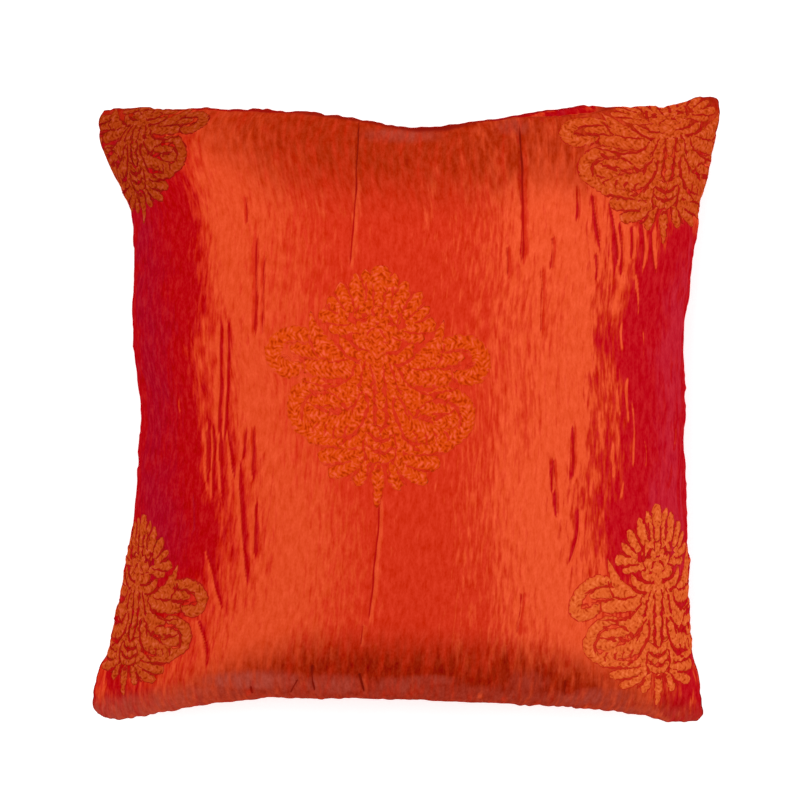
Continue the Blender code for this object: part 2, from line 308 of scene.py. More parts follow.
# The leaves of half a medallion, in hundredths of its half width and half height: the middle of each root, a
# point halfway along, the tip, and the width at the root, halfway and at the tip
LEAF_COLUMNS = ("x_root", "y_root", "x_mid", "y_mid", "x_tip", "y_tip", "root", "middle", "tip")
LEAF_ROWS = (
    (8, 83, 11, 92, 13, 102, 6, 9, 6),
    (7, 70, 9, 79, 9, 88, 8, 10, 7),
    (13, 64, 19, 80, 21, 97, 9, 12, 9),
    (22, 62, 29, 75, 35, 87, 9, 13, 9),
    (24, 57, 33, 64, 43, 74, 8, 11, 8),
    (24, 53, 36, 55, 50, 59, 8, 12, 15),
    (18, 48, 28, 48, 41, 45, 9, 13, 11),
    (1, 66, 7, 67, 12, 66, 8, 10, 7),
    (12, 68, 15, 63, 20, 58, 7, 9, 6),
    (3, 50, 6, 56, 8, 62, 7, 10, 8),
    (3, 41, 11, 49, 15, 56, 8, 12, 8),
    (10, 40, 18, 44, 23, 52, 7, 9, 6),
    (0, 37, 10, 35, 20, 40, 8, 10, 7),
    (0, 25, 19, 26, 31, 41, 10, 12, 7),
    (18, 19, 42, 27, 57, 61, 13, 18, 3),
    (40, 22, 57, 26, 75, 26, 9, 13, 10),
    (14, 13, 42, 11, 67, 12, 14, 19, 14),
    (44, -25, 56, -31, 69, -25, 8, 12, 9),
    (4, 27, 16, 10, 32, -8, 9, 12, 11),
    (18, -4, 34, -7, 50, -5, 9, 10, 8),
    (22, -8, 38, -16, 52, -22, 10, 14, 10),
    (18, -6, 27, -14, 32, -26, 8, 11, 8),
    (14, -4, 19, -16, 23, -29, 7, 8, 6),
    (5, 22, 12, 6, 12, -13, 6, 7, 7),
    (2, 18, 8, 0, 8, -19, 6, 7, 8),
    (8, -13, 10, -24, 6, -34, 6, 10, 6),
    (46, -16, 58, -20, 67, -29, 8, 11, 9),
    (16, -10, 25, -34, 64, -42, 7, 20, 15),
    (0, -43, 6, -41, 13, -33, 8, 9, 7),
    (0, -54, 7, -52, 13, -44, 8, 9, 6),
    (0, -65, 6, -63, 13, -56, 9, 9, 6),
    (12, -31, 16, -52, 15, -71, 7, 9, 7),
    (15, -43, 22, -53, 36, -57, 7, 9, 6),
    (16, -62, 37, -66, 53, -66, 8, 13, 15),
    (16, -67, 29, -77, 43, -82, 8, 13, 12),
    (8, -67, 14, -80, 17, -92, 7, 12, 9),
    (26, -53, 47, -54, 64, -49, 8, 10, 10),
)
# The leaves on its axis, which its other half doesn't repeat
AXIS_LEAF_ROWS = (
    (0, 83, 0, 95, 0, 108, 13, 18, 16),
    (0, 70, 0, 77, 0, 86, 8, 10, 8),
    (0, 56, 0, 62, 0, 70, 8, 10, 8),
    (0, 54, 0, 38, 0, 18, 10, 14, 13),
    (0, 24, 0, 8, 0, -7, 10, 10, 6),
    (0, -6, 0, -13, 0, -22, 7, 10, 6),
    (0, -21, 0, -29, 0, -38, 6, 8, 5),
    (0, -69, 0, -82, 0, -96, 8, 12, 10),
    (0, -92, 0, -99, 0, -109, 8, 7, 4),
)

# Scrolls of half a medallion: where each starts, its heading in degrees, its length, how far it turns, how
# much faster it turns towards its end, and its widths
SCROLL_COLUMNS = ("x", "y", "heading", "length", "turn", "quickening", "root", "middle", "tip")
SCROLL_ROWS = (
    (53, 37, 16, 80, -268, 1.7, 13, 16, 15),
    (44, -6, 26, 88, -236, 1, 11, 15, 13),
)

# Narrow gaps where the ground weave shows between the leaves: three points of each and its width, in the same
# hundredths
GAP_COLUMNS = ("x_root", "y_root", "x_mid", "y_mid", "x_tip", "y_tip", "width")
GAP_ROWS = (
    (12, 92, 11, 82, 11, 72, 3),
    (16, 70, 18, 61, 17, 52, 3),
    (9, 63, 11, 61, 12, 59, 4.5),
    (20, 68, 24, 77, 29, 88, 2.5),
    (26, 62, 32, 69, 39, 78, 2.5),
    (32, 60, 38, 61, 45, 66, 2.5),
    (22, 51, 32, 50, 44, 51, 2.5),
    (5, 84, 5, 78, 4, 70, 2.5),
    (4, 71, 4, 66, 3, 60, 2.5),
    (9, 57, 12, 56, 14, 54, 3),
    (2, 51, 6, 47, 8, 43, 2.5),
    (14, 45, 17, 44, 22, 43, 2.5),
    (23, 37, 16, 31, 8, 31, 3.5),
    (34, 32, 24, 22, 13, 21, 3.5),
    (58, 40, 55, 29, 50, 20, 3),
    (50, 20, 38, 17, 24, 20, 2.5),
    (81, 30, 70, 33, 58, 31, 2.5),
    (73, 20, 62, 18, 50, 18, 2.2),
    (66, 20, 63, 13, 66, 5, 2.4),
    (68, 0, 44, -5, 31, -1, 3),
    (33, -2, 24, 5, 19, 17, 3),
    (16, -4, 14, 9, 9, 22, 3),
    (8, -5, 5, 8, 6, 19, 2.5),
    (25, -30, 20, -15, 14, -7, 3),
    (13, -8, 12, -24, 24, -48, 4),
    (48, -4, 47, -6, 46, -10, 5),
    (44, -11, 39, -13, 34, -18, 3),
    (34, -19, 31, -22, 29, -27, 4.5),
    (43, -24, 40, -27, 35, -28, 3),
    (56, -22, 51, -25, 46, -28, 4.5),
    (62, -8, 57, -12, 55, -16, 3),
    (62, -16, 68, -26, 67, -38, 3.5),
    (57, -48, 58, -43, 54, -38, 2.5),
    (47, -49, 48, -43, 45, -38, 2.5),
    (39, -50, 40, -44, 37, -39, 2.5),
    (30, -49, 31, -43, 28, -38, 2.5),
    (35, -55, 32, -54, 28, -51, 3.5),
    (56, -57, 43, -58, 30, -60, 2.5),
    (46, -73, 34, -72, 23, -69, 2.5),
    (25, -86, 19, -80, 16, -74, 2.5),
    (9, -82, 9, -75, 7, -68, 2.5),
    (12, -41, 14, -55, 11, -69, 2.5),
    (0, -49, 5, -48, 10, -42, 3.5),
    (0, -60, 5, -59, 10, -53, 3),
    (0, -71, 1, -73, 2, -76, 4),
    (5, -21, 6, -29, 2, -37, 2),
    (5, -8, 6, -14, 4, -20, 2),
    (84, 20, 79, 20, 75, 17, 2.2),
    (64, -19, 56, -23, 44, -22, 2.4),
)
LEAF_ENDS = 4  # a higher power keeps the rounding of a leaf nearer its two ends
SCROLL_ENDS = 8
RAGGED = 0.0009  # how far the binding threads carry a leaf's edge to and fro
RAGGED_PITCH = 0.0019  # and over what length
ALONG = 28  # points along a leaf

# The points of a ring about a leaf or a gap: shares of its half width across, and of its rise over the cloth
# or, if less than nothing, of its sink under it
LEAF_RING = ((1, -0.5), (0.88, 0.03), (0.5, 0.75), (0, 1), (-0.5, 0.75), (-0.88, 0.03), (-1, -0.5), (0, -1))
GAP_RING = ((1, 0), (0.8, 0.85), (0.4, 1), (0, 1), (-0.4, 1), (-0.8, 0.85), (-1, 0), (0, -1))
LEAF_SINK = 0.0005
GROUND_MARGIN = 0.0006  # how far the ground under a leaf shows past its edge
GROUND_LIFT = 0.0001
GROUND_SINK = LEAF_SINK * 1.2
GAP_RISE = 0.00006  # over the leaves
GAP_SINK = 0.0001
SEAM_MARGIN = 0.0015  # the medallions are cut off this far in from the seams
SLANT = 0.9  # how far the rows of floats fall back for each step away from a leaf's middle line
ROW_SHARE = 0.10  # how strongly they show against the flecks
EDGE_SHADE_SHARE = 0.2  # how much of the painted edge shade a leaf takes on at its edge

# Cells of the cloth's mesh: more across than up, because the crinkles run up the face
CLOTH_COLUMNS = 560
CLOTH_ROWS = 190
ROW_CROWDING = 0.3
SEAM_ROWS = (0.0008, 0.0016, 0.0026)  # more rows this far in from the top and bottom seams
EDGE_STEP = 0.002  # of s and t, for the slopes of a panel
EDGE_REACH = 0.012  # the crinkles reach their height this far in from the seams,
FLOOR_REACH = 0.012  # and on the back this far above the floor
TROUGH_REACH = 0.030  # the troughs reach their depth this far in from the seams
TINY = 1e-12
LATTICE = 512  # random heights along a side of a noise's lattice

# The cloth simulation that folds the cover
FOLD_CELLS = 84  # across and up each panel
FOLD_FRAMES = 20
FOLD_PRESSURE = 4.0
FOLD_GROWTH = 0.02  # how much larger the cloth is than the shape that it covers
FOLD_BROAD = 16  # rounds of smoothing that tell the broad shape from the folds
FOLD_CAP = 0.003

# Crinkles: pitch across, pitch up, height, in mm
CRINKLE_COLUMNS = ("across", "up", "height")
CRINKLE_ROWS = (
    (16.0, 80.0, 0.55),
    (5.2, 30.0, 0.20),
    (2.6, 13.0, 0.10),
)
CRINKLE_SEED = 41
LAYER_SHIFT = 37.3  # cells of the lattice between one layer of crinkles and the next
SWAY = 3.0  # how far the crinkles sway to and fro, in mm
SWAY_PITCH = (60, 45)  # across and up, in mm
EVENNESS = 0.65  # the mean strength of the crinkles
PATCHINESS = 0.5  # how far it comes and goes
PATCHY_PITCH = (35, 60)  # across and up, in mm

# How far the seams wander to and fro, in mm: pitch along the side seams and how far, the same for the others
WOBBLE_COLUMNS = ("side_pitch", "side_far", "end_pitch", "end_far")
WOBBLE_ROWS = (
    (21, 1.6, 15, 1),
    (8, 0.8, 6, 0.6),
    (4, 0.5, 3.4, 0.6),
)
WOBBLE_REACH = 0.010
TOP_SHIFT = 0.0008  # how far up the cloth lies at the top seam,
BOTTOM_SHIFT = 0.0019  # at the bottom seam,
SHIFT_REACH = 0.030  # and how far in from them

# Gathers where the cloth is drawn in at the top and bottom seams: pitch across, length, height, in mm
GATHER_COLUMNS = ("across", "reach", "height")
GATHER_ROWS = (
    (9.0, 60.0, 0.5),
    (4.5, 30.0, 0.3),
)
GATHER_PITCH_UP = 90  # in mm

# The dark lines along the seams, partly their thread and partly painted shadow, and the back beside them
SEAM_THREAD = 0.0006  # half the width of the dark line along a seam
SEAM_FADE = 0.0012  # and how far it fades past that
TOP_SHADE_REACH = 0.004  # how far the shade of the top seam goes on the back
TOP_SHADE_FADE = 0.012  # and how far it fades past that
BACK_TURN = -0.46  # slope that shows where the back is seen past the top seam
BACK_LINE = 0.75  # strength of the painted shadow line between that part of the back and the front
BACK_STRIP = 0.014  # how far the back shows crimson from the top seam
BACK_STRIP_TURN = -0.5  # slope that this adds
BACK_PANEL_AT = 1.0  # how far up the uncut cloth the back panel lies, so that its crinkles are its own

# Painted shade: bands along the top and the bottom where the cloth turns away from the light and is painted
# darker and duller: places across, and there how high the band starts and is at its fullest, as seen from
# straight above, in mm, and its strength
BAND_COLUMNS = ("x", "starts", "full", "strength")
TOP_BAND_ROWS = (
    (-150, 172, 205, 0.6),
    (-125, 155, 200, 0.7),
    (-95, 130, 190, 0.8),
    (-40, 122, 186, 0.85),
    (60, 122, 182, 0.85),
    (100, 140, 182, 0.75),
    (120, 132, 176, 0.8),
    (150, 140, 190, 0.75),
    (220, 170, 215, 0.75),
)
# Where the back is seen past the top seam
BACK_STRIP_ROWS = (
    (-150, 208.4, 209.0, 1),
    (-82, 206.0, 206.6, 1),
    (-60, 206.0, 206.8, 0),
    (45, 203.0, 204.0, 0),
    (60, 202.4, 203.2, 1),
    (107, 203.6, 204.6, 1),
    (130, 206.0, 207.0, 1),
    (150, 210.0, 211.0, 0),
)
# The shade along the top seam
TOP_SEAM_ROWS = (
    (-150, 208.5, 210.5, 0.8),
    (-75, 204.8, 207.0, 0.8),
    (-33, 199.5, 201.4, 0.85),
    (-5, 193.6, 196.2, 0.9),
    (8, 191.6, 194.8, 1),
    (28, 192.4, 195.6, 1),
    (51, 198.6, 200.6, 0.6),
    (79, 203.8, 205.8, 0.5),
    (107, 208.0, 209.6, 0.5),
    (150, 213.0, 214.5, 0.3),
)
# Painted shade along the bottom
LOW_BAND_ROWS = (
    (-212, -196, -216, 0.25),
    (-170, -182, -206, 0.45),
    (-150, -172, -202, 0.5),
    (-125, -162, -196, 0.7),
    (-95, -154, -188, 0.8),
    (-68, -146, -184, 0.85),
    (-30, -146, -186, 0.9),
    (60, -150, -186, 0.9),
    (93, -155, -190, 0.9),
    (121, -160, -196, 0.85),
    (150, -170, -202, 0.7),
    (180, -186, -212, 0.45),
    (210, -200, -220, 0.2),
)
# The strip beside the bottom seam that catches the light, a painted sheen
STRIP_ROWS = (
    (-215, -196, -212, 0.6),
    (-185, -194, -208, 0.6),
    (-155, -189, -202, 0.45),
    (-125, -186, -198, 0.3),
    (-95, -186, -194, 0.3),
    (-20, -186, -197, 0.3),
    (40, -189, -199, 0.3),
    (110, -194, -205, 0.3),
    (150, -198, -209, 0.4),
    (190, -204, -216, 0.3),
)

# Places along the top and the bottom painted as if the cloth caught the light there, a painted sheen: their
# middles and half sizes, in mm, and how strong each is
PATCH_COLUMNS = ("x", "y", "across", "up", "strength")
PATCH_ROWS = (
    (-108, -191, 34, 6.5, 0.8),
    (-52, -194, 24, 7, 0.6),
    (-6, -195, 18, 6.5, 0.5),
    (136, -202, 22, 6, 0.45),
    (15, -191, 20, 4, 0.45),
    (84, -192, 14, 8, 0.3),
    (120, -204, 20, 4.5, 0.6),
    (-160, -205, 26, 6, 0.35),
    (-192, -208, 20, 6, 0.5),
    (-4, 191, 26, 5, 0.5),
    (74, 197, 12, 6, 0.35),
)

# What one step of speckle adds to a colour: this much red, green and blue light, and these shares of its own.
# So it shows alike to the eye on the orange and on the crimson.
SPECKLE = (0.10, 0.022, 0.012)
SPECKLE_SHARE = (0.13, 0.36, 0.64)
DARKEST = (0.001, 0.001, 0.001)
# Painted light and shade on the crinkles: how far the cloth is painted lighter on their crests and darker in
# their hollows
CRINKLE_SPECKLE = 1.5
SLUB_SPECKLE = 0.8
LEAF_SPECKLE = 0.5
LEAN_LIMIT = 0.75  # the slopes at the two ends of the cloth's colours
# Sockets of a node that mixes two colours
FIRST, SECOND, MIXED = 6, 7, 2

# The camera straight above, the lights and the floor
CAMERA_AT = (-0.0049, 0.0056)
CAMERA_HEIGHT = 3.0  # over the seam
VIEW_WIDTH = 0.560
SENSOR = 36.0  # mm
CLIP_END = 20.0
SKY_STRENGTH = 0.66
KEY_AT = (-0.3, 0.5, 2.6)
KEY_TILT = (-11, -7)  # degrees about X and Y
KEY_SIZE = 1.8
KEY_POWER = 30
FLOOR_SIDE = 8.0
TABLE_GLOW = 0.5


def linear(colour):
    """A colour's sRGB hex value as linear red, green, blue and alpha."""
    parts = np.array([int(colour[i : i + 2], 16) for i in (1, 3, 5)]) / 255
    low, high = parts / 12.92, ((parts + 0.055) / 1.055) ** 2.4
    return (*np.where(parts <= 0.04045, low, high).tolist(), 1.0)


def strength_property(name, description, default):
    """A strength that a user can change, from none to twice the full one."""
    return bpy.props.FloatProperty(name=name, description=description, default=default, min=0.0, max=2.0)


def length_property(name, description, default):
    """A length that a user can change, in metres."""
    return bpy.props.FloatProperty(name=name, description=description, default=default, unit="LENGTH")


class CushionSizes(bpy.types.PropertyGroup):
    """Sizes that a user of the cushion would change."""

    crinkle: strength_property("Crinkle", "Height of the crinkles against the cloth as woven", 1.0)
    folds: strength_property("Folds", "Height of the simulated folds against the simulation", 0.5)
    tuck: strength_property("Tucks", "Depth of the narrow tucks along the main creases", 1.0)
    leaf_height: length_property("Leaf height", "How far a woven leaf stands off the cloth", 0.0009)
    stitch: length_property("Float pitch", "Distance between the rows of floats of a leaf", 0.0034)


def colour_property(name, description, colour):
    """A colour that a user can change, from its sRGB hex value."""
    return bpy.props.FloatVectorProperty(
        name=name, description=description, subtype="COLOR", size=4, min=0.0, max=1.0, default=linear(colour)
    )


class CushionColours(bpy.types.PropertyGroup):
    """Colours of the shot cloth as it turns, with its painted sheen and painted shade, of its tucks and
    seams, and of the medallions.
    """

    # The shot cloth by its slope: the crimson and orange threads' own colours, with a painted sheen that
    # picks between them, orange where the weft catches the light, red facing straight up, crimson where the
    # cloth turns from the light
    purple: colour_property("Purple", "Cloth that turns far to the left", "#A80A20")
    crimson: colour_property("Crimson", "Cloth that turns to the side", "#B4060F")
    rust: colour_property("Rust", "Cloth between crimson and orange", "#CC2A16")
    rose: colour_property("Rose", "Cloth that turns far to the right", "#C62030")
    orange: colour_property("Orange", "Cloth that turns a little to the left", "#DE4924")
    orange_right: colour_property("Orange, right", "Cloth that turns a little to the right", "#E9522B")
    red: colour_property("Red", "Cloth that faces straight up", "#D23118")
    crimson_right: colour_property("Crimson, right", "Cloth that turns to the right side", "#C2101B")
    # Painted shade where the cloth turns down to the bottom edge
    bottom_band_shade: colour_property("Dusk", "Cloth that turns down to the bottom edge", "#961C02")
    # Painted shade where the cloth turns up to the top edge
    top_band_shade: colour_property("Haze", "Cloth that turns up to the top edge", "#AC2A0A")
    # Painted shade at the bottom of a tuck, and darker still in the painted shade bands near the top and
    # bottom seams
    tuck: colour_property("Tuck", "Bottom of a tuck", "#B8120E")
    tuck_deep_shade: colour_property("Tuck, dull", "Bottom of a tuck near the top or bottom seam", "#7C1606")
    leaf: colour_property("Leaf", "Woven leaf", "#E0602A")
    # Painted shade at a leaf's edge, where it turns down to the cloth, and in its darkest flecks
    leaf_edge_shade: colour_property("Leaf edge", "Edge of a woven leaf", "#BE3A14")
    leaf_fleck: colour_property("Leaf fleck", "Floating threads that catch the light", "#F0743C")
    leaf_bloom: colour_property("Leaf bloom", "Floats that shine where the cloth faces up", "#EA563A")
    leaf_top: colour_property("Leaf, facing up", "Woven leaf where the cloth faces straight up", "#D8460C")
    leaf_shade: colour_property("Leaf shade", "Floats in shade where the cloth faces up", "#B83002")
    ground: colour_property("Ground", "Crimson ground between the leaves", "#BC1A12")
    seam: colour_property("Seam", "Thread and shadow along the seams", "#8A140A")
    # Painted sheen where the cloth catches the light along the top and bottom
    painted_sheen: colour_property("Mauve", "Cloth that catches the light along the top and bottom", "#B04434")


def by_name(columns, rows):
    """Each row of a table by its columns' names."""
    return [dict(zip(columns, row)) for row in rows]


def in_metres(columns, rows):
    """Each row of a table in millimetres, by its columns' names and in metres."""
    return [{name: value * MM for name, value in row.items()} for row in by_name(columns, rows)]


def by_column(columns, rows):
    """The columns of a table as arrays, by their names."""
    return dict(zip(columns, np.array(rows, float).T))


def smooth_step(value):
    """0 below 0, 1 above 1, and 3v^2 - 2v^3 between."""
    v = np.clip(value, 0.0, 1.0)
    return v * v * (3.0 - 2.0 * v)


def through(stations, values, at):
    """A smooth curve through the values: cubic Hermite pieces with the slope of the neighbours' chord."""
    slopes = np.gradient(values, stations)
    piece = np.clip(np.searchsorted(stations, at) - 1, 0, len(stations) - 2)
    width = stations[piece + 1] - stations[piece]
    v = (at - stations[piece]) / width
    start = (2 * v**3 - 3 * v**2 + 1) * values[piece] + (v**3 - 2 * v**2 + v) * width * slopes[piece]
    end = (3 * v**2 - 2 * v**3) * values[piece + 1] + (v**3 - v**2) * width * slopes[piece + 1]
    return start + end


def section(share, other):
    """Where a share of the cloth between the middle and a seam lies: its place across and its height.

    Places across go from -1 to 1 between the two seams, and heights from 0 at them to 1 in the middle.
    The full section is the curve across^n + height^2 = 1, walked by its arc length. Towards a side, which the
    other share gives, the section flattens and the cloth lies evenly along it.
    """
    turn = np.linspace(0.0, np.pi / 2, CURVE_POINTS)
    across = np.sin(turn) ** (2.0 / CROWN_POWER)
    height = np.cos(turn)
    steps = np.hypot(np.diff(across) * (HALF - SIDE_DRAW), np.diff(height) * FRONT_CROWN)
    length = np.concatenate(([0.0], np.cumsum(steps)))
    length /= length[-1]
    full = np.interp(np.abs(share), length, across)
    fullness = np.interp(np.abs(other), length, height) ** CROWN_REACH
    place = np.abs(share) + (full - np.abs(share)) * fullness
    return np.sign(share) * place, np.sqrt(1.0 - place**CROWN_POWER)


def outline_point(p, q):
    """The place seen from above of a point at p across and q up: a Coons patch of the four drawn-in sides."""
    pull = 1.0 - CORNER_ROUNDING * np.abs(p * q) ** CORNER_SHARPNESS
    p, q = p * pull, q * pull
    table = by_column(SIDE_COLUMNS, SIDE_ROWS)
    right_share, up_share = (p + 1) / 2, (q + 1) / 2
    corners = [np.array(corner) for corner in (TOP_LEFT, TOP_RIGHT, BOTTOM_LEFT, BOTTOM_RIGHT)]
    top_left, top_right, bottom_left, bottom_right = corners

    def side(start, end, along, name, inwards):
        drawn = through(table["share"], table[name], along) * MM
        return [start[axis] + (end[axis] - start[axis]) * along + inwards[axis] * drawn for axis in (0, 1)]

    left = side(top_left, bottom_left, 1 - up_share, "left", (1, 0))
    right = side(top_right, bottom_right, 1 - up_share, "right", (-1, 0))
    top = side(top_left, top_right, right_share, "top", (0, -1))
    bottom = side(bottom_left, bottom_right, right_share, "bottom", (0, 1))
    place = []
    for axis in (0, 1):
        flat = (1 - up_share) * ((1 - right_share) * bottom_left[axis] + right_share * bottom_right[axis])
        flat += up_share * ((1 - right_share) * top_left[axis] + right_share * top_right[axis])
        sides = (1 - right_share) * left[axis] + right_share * right[axis]
        ends = (1 - up_share) * bottom[axis] + up_share * top[axis]
        place.append(sides + ends - flat)
    return place


def seam_height(p, q):
    """The seam's height: higher at the top, lower at the bottom, and drooping at the corners."""
    droop = CORNER_DROOP * np.abs(p * q) ** DROOP_SHARPNESS
    return SEAM_HEIGHT - droop + SEAM_ROLL * q * (1 - p * p)


def crown(across_height, up_height, p, q):
    """The share of a panel's crown at a point, less at the corners, where the panels close up into ears."""
    return across_height * up_height * (1 - EAR_FLATNESS * np.abs(p * q) ** EAR_SHARPNESS)


def bulge(height, height_along):
    """How far out the cloth bulges past a seam: 0 at it, about 1 a little way in, and 0 again further in."""
    inner = smooth_step((BULGE_INNER - height) / (BULGE_INNER - BULGE_OUTER))
    return BULGE_GAIN * height * inner * height_along


def lumps(x, y):
    """Broad bumps and hollows: a Gaussian for each row of the table."""
    total = np.zeros_like(x)
    for lump in in_metres(LUMP_COLUMNS, LUMP_ROWS):
        away = ((x - lump["x"]) ** 2 + (y - lump["y"]) ** 2) / lump["radius"] ** 2
        total += lump["height"] * np.exp(-away)
    return total


def creases(x, y, kind, width, columns=CREASE_COLUMNS, rows=CREASE_ROWS):
    """Troughs, tucks or painted highlight lines: each a Gaussian across a wavering parabola, faded at both
    its ends.
    """
    total = np.zeros_like(x)
    for crease in in_metres(columns, rows):
        if crease[kind] == 0:
            continue
        top, mid, low = [(crease["x_" + end], crease["y_" + end]) for end in ("top", "mid", "low")]
        along = (top[1] - y) / (top[1] - low[1])
        kept = np.clip(along, -CREASE_OVERRUN, 1 + CREASE_OVERRUN)
        halfway = (top[1] - mid[1]) / (top[1] - low[1])
        bend = (mid[0] - top[0] - (low[0] - top[0]) * halfway) / (halfway * (1 - halfway))
        middle = top[0] + (low[0] - top[0]) * kept + bend * kept * (1 - kept)
        own = np.full_like(x, top[0] / MM)
        middle = middle + CREASE_WAVER * value_noise(y / CREASE_PITCH + 64, own + 256, CRINKLE_SEED + 90)
        ends = smooth_step(along / CREASE_FADE) * smooth_step((1 - along) / CREASE_FADE)
        uneven = value_noise(y / CREASE_PITCH * 2 + 64, own + 300, CRINKLE_SEED + 91)
        depth = 1 - CREASE_UNEVEN + CREASE_UNEVEN * uneven
        wide = width * (1 - CREASE_TAPER + CREASE_TAPER * ends)
        total += crease[kind] * ends * depth * np.exp(-(((x - middle) / wide) ** 2))
    return total


def front_points(s, t):
    """The front panel without its fine crinkles: the crown over the seam and the filling's lumps."""
    (p, across_height), (q, up_height) = section(s, t), section(t, s)
    x, y = outline_point(p, q)
    lift = crown(across_height, up_height, p, q)
    relief = lumps(x, y) * smooth_step(lift / RELIEF_FADE)
    y = y - np.where(q < 0, BOTTOM_BULGE, 0.0) * bulge(up_height, across_height)
    return np.stack([x, y, seam_height(p, q) + FRONT_CROWN * lift + relief], axis=-1)


def back_points(s, t):
    """The back panel: the crown under the seam, bulging past it a little, and flat where it lies."""
    (p, across_height), (q, up_height) = section(s, t), section(t, s)
    x, y = outline_point(p, q)
    top = SIDE_BULGE + TOP_BULGE * np.exp(-(((p - TOP_BULGE_AT) / TOP_BULGE_REACH) ** 2))
    x = x + np.sign(p) * SIDE_BULGE * bulge(across_height, up_height)
    y = y + np.where(q > 0, top, -SIDE_BULGE) * bulge(up_height, across_height)
    z = seam_height(p, q) - BACK_CROWN * crown(across_height, up_height, p, q)
    blended = (z + FLOOR_BLEND) ** 2 / (4 * FLOOR_BLEND)
    z = np.where(z > FLOOR_BLEND, z, np.where(z > -FLOOR_BLEND, blended, 0.0))
    return np.stack([x, y, z], axis=-1)


def outward(points, s, t, side):
    """Unit normals of a panel: the cross product of its two central differences, out of the cushion."""
    right = points(np.clip(s + EDGE_STEP, -1, 1), t) - points(np.clip(s - EDGE_STEP, -1, 1), t)
    up = points(s, np.clip(t + EDGE_STEP, -1, 1)) - points(s, np.clip(t - EDGE_STEP, -1, 1))
    normal = np.cross(right, up) * side
    length = np.linalg.norm(normal, axis=-1, keepdims=True)
    straight = np.zeros_like(normal)
    straight[..., 2] = side
    return np.where(length > TINY, normal / np.maximum(length, TINY), straight)


def value_noise(x, y, seed):
    """Random heights from -1 to 1 on a square lattice of side 1, blended between its points by 3v^2 - 2v^3.

    A number that is added to a place or to the seed only picks another part of a lattice, or another lattice.
    """
    lattice = np.random.default_rng(seed).uniform(-1.0, 1.0, (LATTICE, LATTICE))
    left, low = np.floor(x).astype(int), np.floor(y).astype(int)
    across, up = smooth_step(x - left), smooth_step(y - low)

    def at(i, j):
        return lattice[(left + i) % LATTICE, (low + j) % LATTICE]

    bottom = at(0, 0) + (at(1, 0) - at(0, 0)) * across
    top = at(0, 1) + (at(1, 1) - at(0, 1)) * across
    return bottom + (top - bottom) * up


def crinkles(s, t, panel):
    """Crinkles that run up panel 0, the front, or panel 1, the back, and the gathers at its top and bottom.

    They are layers of value noise, each drawn out upwards and swayed by a broad one.
    """
    x, y = s * HALF / MM, t * HALF / MM
    sway = SWAY * value_noise(x / SWAY_PITCH[0] + 7, y / SWAY_PITCH[1], CRINKLE_SEED + panel)
    total = np.zeros_like(x)
    for layer, row in enumerate(by_name(CRINKLE_COLUMNS, CRINKLE_ROWS)):
        shift = LAYER_SHIFT * (layer + 1)
        across, up = (x + sway) / row["across"] + shift, y / row["up"] + shift
        total += row["height"] * value_noise(across, up, CRINKLE_SEED + layer + 10 * panel)
    patches = value_noise(x / PATCHY_PITCH[0] + 3, y / PATCHY_PITCH[1] + 5, CRINKLE_SEED + 5 + panel)
    total *= EVENNESS + PATCHINESS * patches
    inwards = (1 - np.abs(t)) * HALF / MM
    for layer, row in enumerate(by_name(GATHER_COLUMNS, GATHER_ROWS)):
        across, up = (x + sway) / row["across"] + 64, y / GATHER_PITCH_UP + 9
        fold = value_noise(across, up, CRINKLE_SEED + 60 + layer + 10 * panel)
        total += row["height"] * fold * (1 - smooth_step(inwards / row["reach"])) ** 2
    return total * MM


def sewn_together(front, back, rim):
    """Points and faces of two panels that share their rim, and the number of each point of the back panel."""
    rows, columns = rim.shape
    number = np.arange(rows * columns).reshape(rows, columns)
    under = np.empty_like(number)
    under[rim] = number[rim]
    under[~rim] = rows * columns + np.arange((~rim).sum())
    above = np.stack([number[:-1, :-1], number[:-1, 1:], number[1:, 1:], number[1:, :-1]], axis=-1)
    below = np.stack([under[:-1, :-1], under[1:, :-1], under[1:, 1:], under[:-1, 1:]], axis=-1)
    faces = np.concatenate([above.reshape(-1, 4), below.reshape(-1, 4)]).tolist()
    return np.concatenate([front.reshape(-1, 3), back[~rim]]), faces, under


def rim_of(shape):
    """Which points of a grid are on its rim."""
    rim = np.ones(shape, bool)
    rim[1:-1, 1:-1] = False
    return rim


def broad_part(height):
    """A grid of heights without its folds: averaged with its neighbours, one to two to one, many times."""
    for _ in range(FOLD_BROAD):
        for axis in (0, 1):
            wide = np.pad(height, [(1, 1) if axis == side else (0, 0) for side in (0, 1)], mode="edge")
            low, middle, high = [
                np.take(wide, np.arange(height.shape[axis]) + start, axis=axis) for start in (0, 1, 2)
            ]
            height = (low + 2 * middle + high) / 4
    return height


